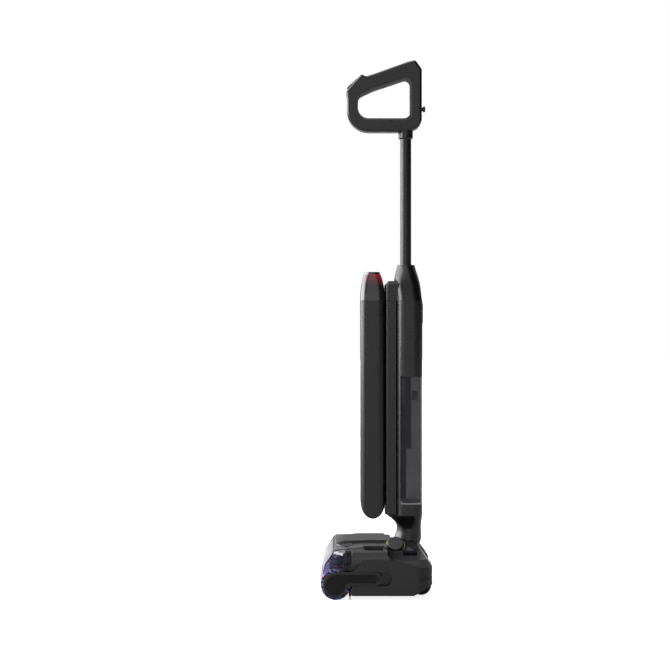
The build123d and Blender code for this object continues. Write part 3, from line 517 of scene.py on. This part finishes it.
def mesh_object(name, verts, faces, smooth=True):
    """Object from points in millimetres and faces."""
    mesh = bpy.data.meshes.new(name)
    mesh.from_pydata([Vector(point) * MM for point in verts], [], faces)
    mesh.validate()
    mesh.update()
    mesh.polygons.foreach_set("use_smooth", [smooth] * len(mesh.polygons))
    made = bpy.data.objects.new(name, mesh)
    bpy.context.scene.collection.objects.link(made)
    return made


def join_meshes(name, parts, smooth=True):
    """One object from several (points, faces) lists in millimetres."""
    verts = []
    faces = []
    for points, polygons in parts:
        start = len(verts)
        verts.extend(points)
        faces.extend([tuple(index + start for index in polygon) for polygon in polygons])
    return mesh_object(name, verts, faces, smooth)


def soft_block(low, high, soft, turn=None, centre=None):
    """Box with rounded edges as (points, faces), in millimetres, turned about its centre if asked."""
    work = bmesh.new()
    bmesh.ops.create_cube(work, size=1)
    size = [b - a for a, b in zip(low, high)]
    middle = Vector([(a + b) / 2 for a, b in zip(low, high)])
    bmesh.ops.scale(work, vec=size, verts=work.verts)
    bmesh.ops.bevel(
        work, geom=work.edges[:] + work.verts[:], offset=soft, offset_type="OFFSET", segments=3, profile=0.5,
        affect="EDGES",
    )
    points = []
    for vert in work.verts:
        place = vert.co + middle
        if turn is not None:
            place = turn @ (place - Vector(centre)) + Vector(centre)
        points.append(tuple(place))
    work.verts.index_update()
    polygons = [tuple(vert.index for vert in face.verts) for face in work.faces]
    work.free()
    return points, polygons


def ribbon(path, outward, width, height, closed=False):
    """Low crowned strip as (points, faces) along a path, standing out along each outward vector."""
    points = []
    count = len(path)
    shape = [(-0.5, 0.0), (-0.42, 0.75), (-0.2, 1.0), (0.2, 1.0), (0.42, 0.75), (0.5, 0.0)]
    for index, place in enumerate(path):
        if closed:
            ahead, behind = path[(index + 1) % count], path[index - 1]
        else:
            ahead, behind = path[min(index + 1, count - 1)], path[max(index - 1, 0)]
        run = (Vector(ahead) - Vector(behind)).normalized()
        rise = Vector(outward[index]).normalized()
        side = run.cross(rise).normalized()
        for across, up in shape:
            points.append(tuple(Vector(place) + side * across * width + rise * up * height))
    ring = len(shape)
    polygons = []
    for index in range(count if closed else count - 1):
        first = index * ring
        second = ((index + 1) % count) * ring
        for step in range(ring):
            after = (step + 1) % ring
            polygons.append((first + step, first + after, second + after, second + step))
    if not closed:
        polygons.append(tuple(range(ring - 1, -1, -1)))
        polygons.append(tuple(range((count - 1) * ring, count * ring)))
    return points, polygons


def rounded_plan(x0, x1, half, radius, z, steps=10):
    """Points and outward vectors round a rounded rectangle in plan, starting at the near rear corner."""
    path = []
    outward = []
    for cx, cy, start in (
        (x1 - radius, -half + radius, -90),
        (x1 - radius, half - radius, 0),
        (x0 + radius, half - radius, 90),
        (x0 + radius, -half + radius, 180),
    ):
        for step in range(steps + 1):
            angle = math.radians(start + 90 * step / steps)
            way = Vector((math.cos(angle), math.sin(angle), 0))
            path.append((cx + radius * way.x, cy + radius * way.y, z))
            outward.append(tuple(way))
    return path, outward


def turned(profile, axis_point, direction, count=64, wave=None):
    """Ring-shaped piece as (points, faces): a closed profile of (along, radius) turned about an axis."""
    way = Vector(direction).normalized()
    across = way.orthogonal().normalized()
    third = way.cross(across)
    points = []
    for index in range(count):
        angle = math.tau * index / count
        spoke = across * math.cos(angle) + third * math.sin(angle)
        for place, (along, radius) in enumerate(profile):
            if wave is not None:
                radius = wave(index, place, radius)
            points.append(tuple(Vector(axis_point) + way * along + spoke * radius))
    ring = len(profile)
    polygons = []
    for index in range(count):
        first = index * ring
        second = ((index + 1) % count) * ring
        for step in range(ring):
            after = (step + 1) % ring
            polygons.append((first + step, second + step, second + after, first + after))
    return points, polygons


def spot(name):
    """Corners of a CAD node in millimetres."""
    low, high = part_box(name)
    return Vector(low) / MM, Vector(high) / MM


# ---------------------------------------------------------------- pieces

# The pivot caps get darker steel: partly a dark finish, partly painted shade of the recess round them.
SPECIAL = {"display_cap": "lit_cap", "pivot_caps": "recess_shade_steel"}


class ScrubberFinishes(Operator):
    """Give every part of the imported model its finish"""

    bl_idname = "scrubber.finishes"
    bl_label = "Finishes"

    def execute(self, context):
        FINISH.update(build_finishes())
        FINISH["lit_cap"] = glow_material()
        # Darker steel for the pivot caps: a dark finish plus painted shade of the recess round them.
        FINISH["recess_shade_steel"] = metal("Steel darkened for recess shade", (0.10, 0.10, 0.11), 0.22)
        for name, part in NODES.items():
            part.data.materials.clear()
            part.data.materials.append(FINISH[SPECIAL.get(name, SLOT_OF[name])])
        return {"FINISHED"}


class ScrubberPile(Operator):
    """Deep pile on the roller, with loose strands over its surface and its near end"""

    bl_idname = "scrubber.pile"
    bl_label = "Roller pile"

    def execute(self, context):
        chance = random.Random(7)
        low, high = spot("roller_fleece")
        middle = (low + high) / 2
        radius = (high.z - low.z) / 2
        relief = sizes().pile_relief / MM
        inner = 24.2
        around, along = 240, 220
        profile = [(low.y, inner)]
        profile += [(low.y - 0.6, inner + (radius - 1.4 - inner) * step / 5) for step in range(1, 6)]
        profile += [(low.y + (high.y - low.y) * step / along, radius) for step in range(along + 1)]
        profile += [(high.y, inner)]

        def tuft(index, place, value):
            if place == 0 or place == len(profile) - 1:
                return value
            reach, size = profile[place]
            angle = math.tau * index / around
            spot_at = Vector((math.cos(angle) * size, reach, math.sin(angle) * size))
            rough = noise.noise(spot_at * 0.42) * 0.6 + noise.noise(spot_at * 1.1) * 0.4
            return value - relief * (0.5 - 0.5 * rough) * (1.0 if place > 5 else 0.4)

        sleeve = turned(profile, (middle.x, 0, middle.z), (0, 1, 0), around, tuft)
        dress(join_meshes("roller_pile", [sleeve]), "roller", "fleece", "roller_fleece")
        strand = sizes().strand / MM
        verts = []
        faces = []
        for count in range(sizes().strands):
            angle = chance.uniform(0, math.tau)
            on_end = count % 4 == 0
            if on_end:
                start = chance.uniform(inner + 1.0, radius - 1.8)
                place = low.y - 0.3
            else:
                start = radius - relief - 0.4
                place = chance.uniform(low.y, high.y)
            spoke = Vector((math.cos(angle), 0, math.sin(angle)))
            side = Vector((-math.sin(angle), 0, math.cos(angle)))
            lean = side * chance.uniform(-0.9, 0.9) + Vector((0, chance.uniform(-0.7, 0.7), 0))
            if on_end:
                out_and_round = spoke * chance.uniform(0.2, 1.0) + side * chance.uniform(-0.9, 0.9)
                way = (Vector((0, -0.5, 0)) + out_and_round).normalized()
            else:
                way = (spoke + lean * 0.8).normalized()
            root = Vector((middle.x, place, middle.z)) + spoke * start
            tip = root + way * strand * chance.uniform(0.5, 1.0)
            flat = Vector((tip.x - middle.x, 0, tip.z - middle.z))
            if flat.length > radius + 0.6:
                flat = flat.normalized() * (radius + 0.6)
                tip = Vector((middle.x + flat.x, tip.y, middle.z + flat.z))
            tip.z = max(tip.z, 0.02)
            width = way.cross(Vector((chance.uniform(-1, 1), chance.uniform(-1, 1), chance.uniform(-1, 1))))
            width = width.normalized() * 0.16
            bulge = (root + tip) / 2 + spoke * 0.25
            first = len(verts)
            verts += [root - width, root + width, bulge + width * 0.9, bulge - width * 0.9, tip]
            faces += [(first, first + 1, first + 2, first + 3), (first + 3, first + 2, first + 4)]
        strands = mesh_object("roller_strands", verts, faces)
        dress(strands, "roller", "fleece", "roller_fleece")
        return {"FINISHED"}


class ScrubberTyres(Operator):
    """Rear tyres with a grooved tread"""

    bl_idname = "scrubber.tyres"
    bl_label = "Rear tyres"

    def execute(self, context):
        depth = sizes().tread_depth / MM
        blocks = 30
        for word in ("near", "far"):
            low, high = spot(f"wheel_tyre_{word}")
            middle = (low + high) / 2
            half = (high.y - low.y) / 2
            radius = (high.z - low.z) / 2
            profile = [
                (-half, radius - 3), (-half, radius - 1.4),
                (-half + 0.5, radius - 0.5), (-half + 1.5, radius),
                (-0.9, radius), (-0.6, radius - depth),
                (0.6, radius - depth), (0.9, radius),
                (half - 1.5, radius), (half - 0.5, radius - 0.5),
                (half, radius - 1.4), (half, radius - 3),
            ]

            def groove(index, place, value):
                in_gap = index % 8 in (6, 7)
                return value - depth if in_gap and place in (2, 3, 4, 7, 8, 9) else value

            made = join_meshes(
                f"tyre_{word}", [turned(profile, middle, (0, 1, 0), blocks * 8, groove)], smooth=False
            )
            dress(made, f"wheel_{word}", "soft_rubber", f"wheel_tyre_{word}")
        return {"FINISHED"}


class ScrubberHead(Operator):
    """Trims, bumpers and small fittings of the floor head"""

    bl_idname = "scrubber.head"
    bl_label = "Floor head details"

    def execute(self, context):
        thick = sizes().trim / MM
        # Trim along the lower edge of the clear hood, on both cheeks.
        parts = []
        for sign in (-1, 1):
            outline = [(-94.0, 127.0), (-88.0, 127.9), (-53.5, 127.9)]
            path = [(x, sign * y, 74.6) for x, y in outline]
            parts.append(ribbon(path, [(0, sign, 0)] * 3, 1.5, thick))
        dress(join_meshes("hood_trim", parts), "hood", "satin_black")
        # Soft bumper strip round the rear of the head.
        path, outward = rounded_plan(-96, 114, 128, 36, 44.0)
        run = [i for i, place in enumerate(path) if place[0] > 44 and abs(place[1]) > 38]
        parts = []
        for sign in (-1, 1):
            some = [i for i in run if path[i][1] * sign > 0]
            parts.append(ribbon([path[i] for i in some], [outward[i] for i in some], 2.2, thick * 0.9))
        dress(join_meshes("rear_bumper", parts), "head", "soft_rubber")
        # Pads and ribs under the sole plate.
        pads = [soft_block((x, y, 9.2), (x + 22, y + 9, 10.2), 0.4) for x in (-36, 44) for y in (-92, 83)]
        ribs = [soft_block((x, -86, 9.4), (x + 2.4, 86, 10.2), 0.35) for x in (-20, -12, 20, 28)]
        dress(join_meshes("sole_ribs", pads + ribs), "head", "base_plastic")
        # Two raised finger bars on the end of the roller arm and a row of ribs on its outer face.
        marks = [soft_block((-30.4, -128.0, z), (-27.6, -126.4, z + 4.6), 0.4) for z in (51.8, 31.6)]
        ribs = [soft_block((x, -127.95, 36.0), (x + 1.3, -127.0, 52.0), 0.3) for x in (-1.4, 1.4, 4.2)]
        dress(join_meshes("arm_marks", marks + ribs), "arm", "housing_grey")
        # Raised lip round the charging pocket.
        around, _ = rounded_plan(-25.6, 15.6, 6, 3.0, 0.0, 6)
        lip = [(x, y - 108.0, 101.6) for x, y, z in around if y - 108.0 > -106]
        rim = ribbon(lip, [(0, 0, 1)] * len(lip), 1.0, 0.8)
        dress(join_meshes("pocket_lip", [rim]), "head", "gloss_cover")
        return {"FINISHED"}


class ScrubberKnob(Operator):
    """Grip marks on the face of the release knob"""

    bl_idname = "scrubber.knob"
    bl_label = "Release knob marks"

    def execute(self, context):
        tilt = Matrix.Rotation(math.radians(45), 3, "X")
        centre = Vector((40, -60, 101))
        rim = centre.x + 12.6
        parts = []
        for angle in range(0, 360, 45):
            turn = tilt @ Matrix.Rotation(math.radians(angle), 3, "Z")
            long = 3.6 if angle % 90 == 0 else 2.0
            parts.append(soft_block((rim - long, -60.4, 111.7), (rim, -59.6, 112.15), 0.15, turn, centre))
        dish = [(10.75, 6.4), (10.95, 6.2), (11.15, 6.0), (11.15, 5.4), (10.95, 5.2), (10.75, 5.2)]
        way = tilt @ Vector((0, 0, 1))
        parts.append(turned(dish, centre, way, 48))
        dress(join_meshes("knob_marks", parts), "knob", "button_grey")
        return {"FINISHED"}


class ScrubberDisplay(Operator):
    """Lit arcs and segments under the glossy display plate"""

    bl_idname = "scrubber.display"
    bl_label = "Display"

    def execute(self, context):
        low, high = spot("display_disc")
        middle = (low + high) / 2
        top = high.z
        ring = 11.2
        arcs = []
        for start, end in ((200, 340), (20, 160)):
            path = []
            outward = []
            for step in range(33):
                angle = math.radians(start + (end - start) * step / 32)
                x = middle.x + ring * 0.95 * math.sin(angle)
                y = middle.y + ring * 1.9 * math.cos(angle)
                path.append((x, y, top - 0.05))
                outward.append((0, 0, 1))
            arcs.append(ribbon(path, outward, 0.9, 0.12))
        dress(join_meshes("display_arcs", arcs), "tower", "light_red")
        bars = [
            soft_block((middle.x - 3.2, y, top - 0.1), (middle.x + 3.2, y + 1.1, top + 0.1), 0.08)
            for y in (middle.y - 7, middle.y - 4.6, middle.y - 2.2, middle.y + 0.2)
        ]
        dress(join_meshes("display_bars", bars), "tower", "float_white")
        return {"FINISHED"}


class ScrubberTower(Operator):
    """Exhaust grille, trims and inlays of the tower"""

    bl_idname = "scrubber.tower"
    bl_label = "Tower details"

    def execute(self, context):
        low, high = spot("body_shell")
        rear = high.x
        plate = [soft_block((rear - 0.6, -27, 560), (rear + 0.25, 27, 601), 0.2)]
        dress(join_meshes("vent_back", plate), "tower", "inner_dark")
        slats = []
        for index in range(7):
            rise = 5.2 * index
            slats.append(soft_block((rear - 0.2, -25, 563 + rise), (rear + 1.3, 25, 565.6 + rise), 0.55))
        rim_path, _ = rounded_plan(560, 601, 27, 5.0, 0.0, 8)
        rim = [(rear, y, x) for x, y, z in rim_path]
        slats.append(ribbon(rim, [(1, 0, 0)] * len(rim), 1.4, 1.2, closed=True))
        dress(join_meshes("vent_slats", slats), "tower", "satin_black")
        # Blue seal line between the body and the lid of the recovery tank.
        parts = []
        for sign in (-1, 1):
            path = [(51.5, sign * 49.0, z) for z in (481, 489, 497, 504)]
            parts.append(ribbon(path, [(0, sign, 0)] * len(path), 0.8, 0.15))
        dress(join_meshes("seal_inlay", parts), "tower", "cell_wrap")
        # Ribs at the foot of the clean tank's back, and a thin line round its shoulder.
        low, high = spot("clean_tank")
        path, outward = rounded_plan(low.x, high.x, (high.y - low.y) / 2, 14, 603.4)
        line = ribbon(path, outward, 0.7, 0.18, closed=True)
        dress(join_meshes("pod_shoulder_line", [line]), "clean_tank_unit", "button_grey")
        grips = []
        for sign in (-1, 1):
            for index in range(5):
                height = 452 + 4.2 * index
                spread = (sign * 41.95, sign * 42.3)
                grips.append(soft_block((-9, min(spread), height), (7, max(spread), height + 1.5), 0.14))
        dress(join_meshes("pod_grip_ribs", grips), "clean_tank_unit", "tank_black")
        return {"FINISHED"}


class ScrubberTanks(Operator):
    """Seals, pull ribs and fill marks of the two tanks"""

    bl_idname = "scrubber.tanks"
    bl_label = "Tank details"

    def execute(self, context):
        low, high = spot("recovery_vessel")
        path, outward = rounded_plan(24.0, high.x - 2.4, 49 - 2.4, 17.6, 449.6)
        keep = [i for i, place in enumerate(path[:22]) if place[0] > 56]
        seal = ribbon([path[i] for i in keep], [outward[i] for i in keep], 2.0, 0.6)
        dress(join_meshes("tank_seal", [seal]), "recovery_tank_unit", "soft_rubber")
        marks = []
        for index in range(6):
            height = 230 + 30 * index
            half = 6 if index % 2 else 9
            marks.append(soft_block((high.x - 0.05, -half, height), (high.x + 0.25, half, height + 0.9), 0.1))
        dress(join_meshes("fill_marks", marks), "recovery_tank_unit", "button_grey")
        low, high = spot("tank_latch")
        ribs = []
        for index in range(7):
            low_corner = (high.x - 0.1, -13 + 4 * index, low.z + 2)
            high_corner = (high.x + 0.5, -11.4 + 4 * index, high.z - 2)
            ribs.append(soft_block(low_corner, high_corner, 0.2))
        dress(join_meshes("latch_ribs", ribs), "latch", "smoke_gloss")
        low, high = spot("tank_plug")
        tab = soft_block((-10, -2.2, high.z - 1.4), (-2, 2.2, high.z - 0.1), 0.5)
        dress(join_meshes("plug_tab", [tab]), "clean_tank_unit", "soft_rubber")
        return {"FINISHED"}


class ScrubberHandle(Operator):
    """Button symbols, status light and trims of the handle"""

    bl_idname = "scrubber.handle"
    bl_label = "Handle details"

    def execute(self, context):
        turn = Matrix.Rotation(math.radians(-(90 - 48.4)), 3, "Y")
        centre = Vector((-45, 0, 1063.5))
        way = turn @ Vector((0, 0, 1))
        along = turn @ Vector((1, 0, 0))
        face = 2.82
        raised = face + 0.16
        circle = [(face, 2.9), (raised, 2.7), (raised, 2.4), (face, 2.2)]
        mark = turned(circle, centre + along * 8, way, 40)
        dress(join_meshes("power_symbol", [mark]), "power", "float_white")
        mode = centre + along * -8.5
        dot = [(face, 0.55), (raised, 0.45), (raised, 0.05), (face, 0.05)]
        dots = [turned(dot, mode + Vector((0, step, 0)), way, 16) for step in (-1.6, 0, 1.6)]
        dress(join_meshes("mode_symbol", dots), "mode", "float_white")
        lamp = centre + along * 0.6
        ring = [(1.58, 1.0), (1.85, 0.8), (1.85, 0.05), (1.58, 0.05)]
        dress(join_meshes("status_lamp", [turned(ring, lamp, way, 20)]), "pole", "light_red")
        # Collar ring where the tube enters the handle, and a ring at the mouth of the cone.
        low, high = spot("pole_tube")
        axis = ((low.x + high.x) / 2, 0, 0)
        collar = [(958.0, 15.25), (958.6, 15.6), (960.4, 15.6), (961.0, 15.25), (961.0, 15.0), (958.0, 15.0)]
        dress(join_meshes("handle_collar", [turned(collar, axis, (0, 0, 1), 72)]), "pole", "soft_rubber")
        mouth = [(680.4, 11.9), (680.4, 15.6), (681.6, 16.4), (682.6, 15.8), (682.6, 12.4), (681.8, 11.9)]
        dress(join_meshes("cone_seal", [turned(mouth, axis, (0, 0, 1), 72)]), "tower", "soft_rubber")
        return {"FINISHED"}


CAMERA_LENS = 81.19
CAMERA_PLACE = (-0.0841, -3.170, 0.5358)
FLOOR_HALF = 30000
FLOOR_LEVEL = -0.4
ROOM_STRENGTH = 10.0
# Brightness of the surroundings by direction: 0 and 1 lie behind the machine, 0.25 at its rear end,
# 0.5 towards the camera and 0.75 at its roller end, where a tall soft strip stands.
ROOM_STOPS = (
    (0.0, 0.14), (0.06, 0.10), (0.12, 0.05), (0.22, 0.03), (0.38, 0.03), (0.45, 0.34),
    (0.485, 0.90), (0.515, 1.10), (0.545, 0.62), (0.58, 0.22), (0.62, 0.50), (0.66, 3.2),
    (0.70, 8.5), (0.77, 10.0), (0.84, 6.4), (0.90, 2.0), (0.95, 0.5), (1.0, 0.14),
)


class ScrubberStudio(Operator):
    """Pale floor, soft lights, surroundings and camera"""

    bl_idname = "scrubber.studio"
    bl_label = "Studio"

    def execute(self, context):
        scene = context.scene
        corners = ((-1, -1), (1, -1), (1, 1), (-1, 1))
        verts = [(x * FLOOR_HALF, y * FLOOR_HALF, FLOOR_LEVEL) for x, y in corners]
        floor = mesh_object("studio_floor", verts, [(0, 1, 2, 3)])
        paper, tree, shader = new_material("Studio floor")
        grain = remap(tree, object_noise(tree, 3.0), 0.3, 0.7, 0.90, 0.93)
        tint = node(tree, "ShaderNodeCombineColor")
        for index in range(3):
            link(tree, grain, tint.inputs[index])
        shader.inputs["Roughness"].default_value = 0.9
        shader.inputs["Specular IOR Level"].default_value = 0.0
        shader.inputs["Emission Color"].default_value = (1, 1, 1, 1)
        ray = node(tree, "ShaderNodeLightPath")
        direct = math_node(tree, "MAXIMUM", ray.outputs["Is Camera Ray"], ray.outputs["Is Transmission Ray"])
        link(tree, remap(tree, direct, 0.0, 1.0, 0.06, 0.86), shader.inputs["Emission Strength"])
        shown = mix_colour(tree, direct, (0.40, 0.40, 0.40), tint.outputs[0])
        link(tree, shown, shader.inputs["Base Color"])
        floor.data.materials.append(paper)
        self.surroundings(scene)
        self.lamp("overhead", (-0.3, -0.4, 2.6), (0.0, 0.0, 0.3), 1.6, 8.0)
        self.lamp("front_left", (-2.6, -1.2, 1.3), (0.0, 0.0, 0.5), 1.2, 12.0)
        self.lamp("low_front", (-1.5, -2.6, 0.7), (0.0, 0.0, 0.1), 0.9, 2.5)
        camera = bpy.data.cameras.new("camera")
        camera.lens = CAMERA_LENS
        camera.sensor_width = 36
        camera.clip_start = 0.1
        camera.clip_end = 100
        eye = bpy.data.objects.new("camera", camera)
        eye.location = CAMERA_PLACE
        eye.rotation_euler = (math.radians(90), 0, 0)
        scene.collection.objects.link(eye)
        scene.camera = eye
        scene.view_settings.view_transform = "Standard"
        return {"FINISHED"}

    def lamp(self, name, place, aim, size, power):
        """Soft square light that faces a point."""
        data = bpy.data.lights.new(name, "AREA")
        data.shape = "SQUARE"
        data.size = size
        data.energy = power
        made = bpy.data.objects.new(name, data)
        made.location = place
        made.rotation_euler = (Vector(aim) - Vector(place)).to_track_quat("-Z", "Y").to_euler()
        bpy.context.scene.collection.objects.link(made)

    def surroundings(self, scene):
        """White room behind the camera's view, with a softer pattern for light and gloss."""
        world = bpy.data.worlds.new("studio")
        world.use_nodes = True
        tree = world.node_tree
        tree.nodes.clear()
        place = node(tree, "ShaderNodeTexCoord").outputs["Generated"]
        split = node(tree, "ShaderNodeSeparateXYZ")
        link(tree, place, split.inputs[0])
        left = math_node(tree, "MULTIPLY", split.outputs["X"], -1.0)
        front = math_node(tree, "MULTIPLY", split.outputs["Y"], -1.0)
        turn = math_node(tree, "DIVIDE", math_node(tree, "ARCTAN2", left, front), math.tau)
        turn = math_node(tree, "ADD", turn, 0.5)
        ramp = node(tree, "ShaderNodeValToRGB")
        band = ramp.color_ramp
        while len(band.elements) < len(ROOM_STOPS):
            band.elements.new(0.5)
        for stop, (at, value) in zip(band.elements, ROOM_STOPS):
            stop.position = at
            stop.color = (value / ROOM_STRENGTH, value / ROOM_STRENGTH, value * 1.02 / ROOM_STRENGTH, 1)
        link(tree, turn, ramp.inputs[0])
        lift = remap(tree, split.outputs["Z"], 0.10, 0.9, 1.0, 0.55)
        upper = remap(tree, split.outputs["Z"], 0.12, 0.35, 0.0, 1.0)
        behind = remap(tree, split.outputs["Y"], 0.3, 0.8, 0.0, 0.07)
        panel = math_node(tree, "MULTIPLY", upper, behind)
        rise = node(tree, "ShaderNodeVectorMath", operation="SCALE")
        link(tree, ramp.outputs[0], rise.inputs[0])
        link(tree, lift, rise.inputs["Scale"])
        whole = node(tree, "ShaderNodeVectorMath", operation="ADD")
        link(tree, rise.outputs["Vector"], whole.inputs[0])
        link(tree, panel, whole.inputs[1])
        soft = node(tree, "ShaderNodeBackground")
        link(tree, whole.outputs["Vector"], soft.inputs["Color"])
        soft.inputs["Strength"].default_value = ROOM_STRENGTH
        plain = node(tree, "ShaderNodeBackground")
        plain.inputs["Color"].default_value = (1, 1, 1, 1)
        ray = node(tree, "ShaderNodeLightPath")
        seen = math_node(tree, "MAXIMUM", ray.outputs["Is Camera Ray"], ray.outputs["Is Transmission Ray"])
        mix = node(tree, "ShaderNodeMixShader")
        link(tree, seen, mix.inputs[0])
        link(tree, soft.outputs[0], mix.inputs[1])
        link(tree, plain.outputs[0], mix.inputs[2])
        output = node(tree, "ShaderNodeOutputWorld")
        link(tree, mix.outputs[0], output.inputs["Surface"])
        scene.world = world


OPERATORS = (
    ScrubberFinishes,
    ScrubberPile,
    ScrubberTyres,
    ScrubberHead,
    ScrubberKnob,
    ScrubberDisplay,
    ScrubberTower,
    ScrubberTanks,
    ScrubberHandle,
    ScrubberStudio,
)


class ScrubberPanel(Panel):
    """Lists the pieces of the floor scrubber and their sizes and colours"""

    bl_idname = "VIEW3D_PT_scrubber"
    bl_label = "Floor scrubber"
    bl_space_type = "VIEW_3D"
    bl_region_type = "UI"
    bl_category = "Scrubber"

    def draw(self, context):
        layout = self.layout
        for group in (context.scene.scrubber_sizes, context.scene.scrubber_colours):
            box = layout.box()
            for name in group.__annotations__:
                box.prop(group, name)
        for operator in OPERATORS:
            layout.operator(operator.bl_idname)


CLASSES = (ScrubberSizes, ScrubberColours, *OPERATORS, ScrubberPanel)


def register():
    """Add the classes and the settings to the scene."""
    for item in CLASSES:
        bpy.utils.register_class(item)
    bpy.types.Scene.scrubber_sizes = PointerProperty(type=ScrubberSizes)
    bpy.types.Scene.scrubber_colours = PointerProperty(type=ScrubberColours)


def unregister():
    """Take the settings and the classes away again."""
    del bpy.types.Scene.scrubber_colours
    del bpy.types.Scene.scrubber_sizes
    for item in reversed(CLASSES):
        bpy.utils.unregister_class(item)


def main():
    """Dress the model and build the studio."""
    register()
    bpy.ops.scrubber.finishes()
    bpy.ops.scrubber.pile()
    bpy.ops.scrubber.tyres()
    bpy.ops.scrubber.head()
    bpy.ops.scrubber.knob()
    bpy.ops.scrubber.display()
    bpy.ops.scrubber.tower()
    bpy.ops.scrubber.tanks()
    bpy.ops.scrubber.handle()
    bpy.ops.scrubber.studio()


if __name__ == "__main__":
    main()
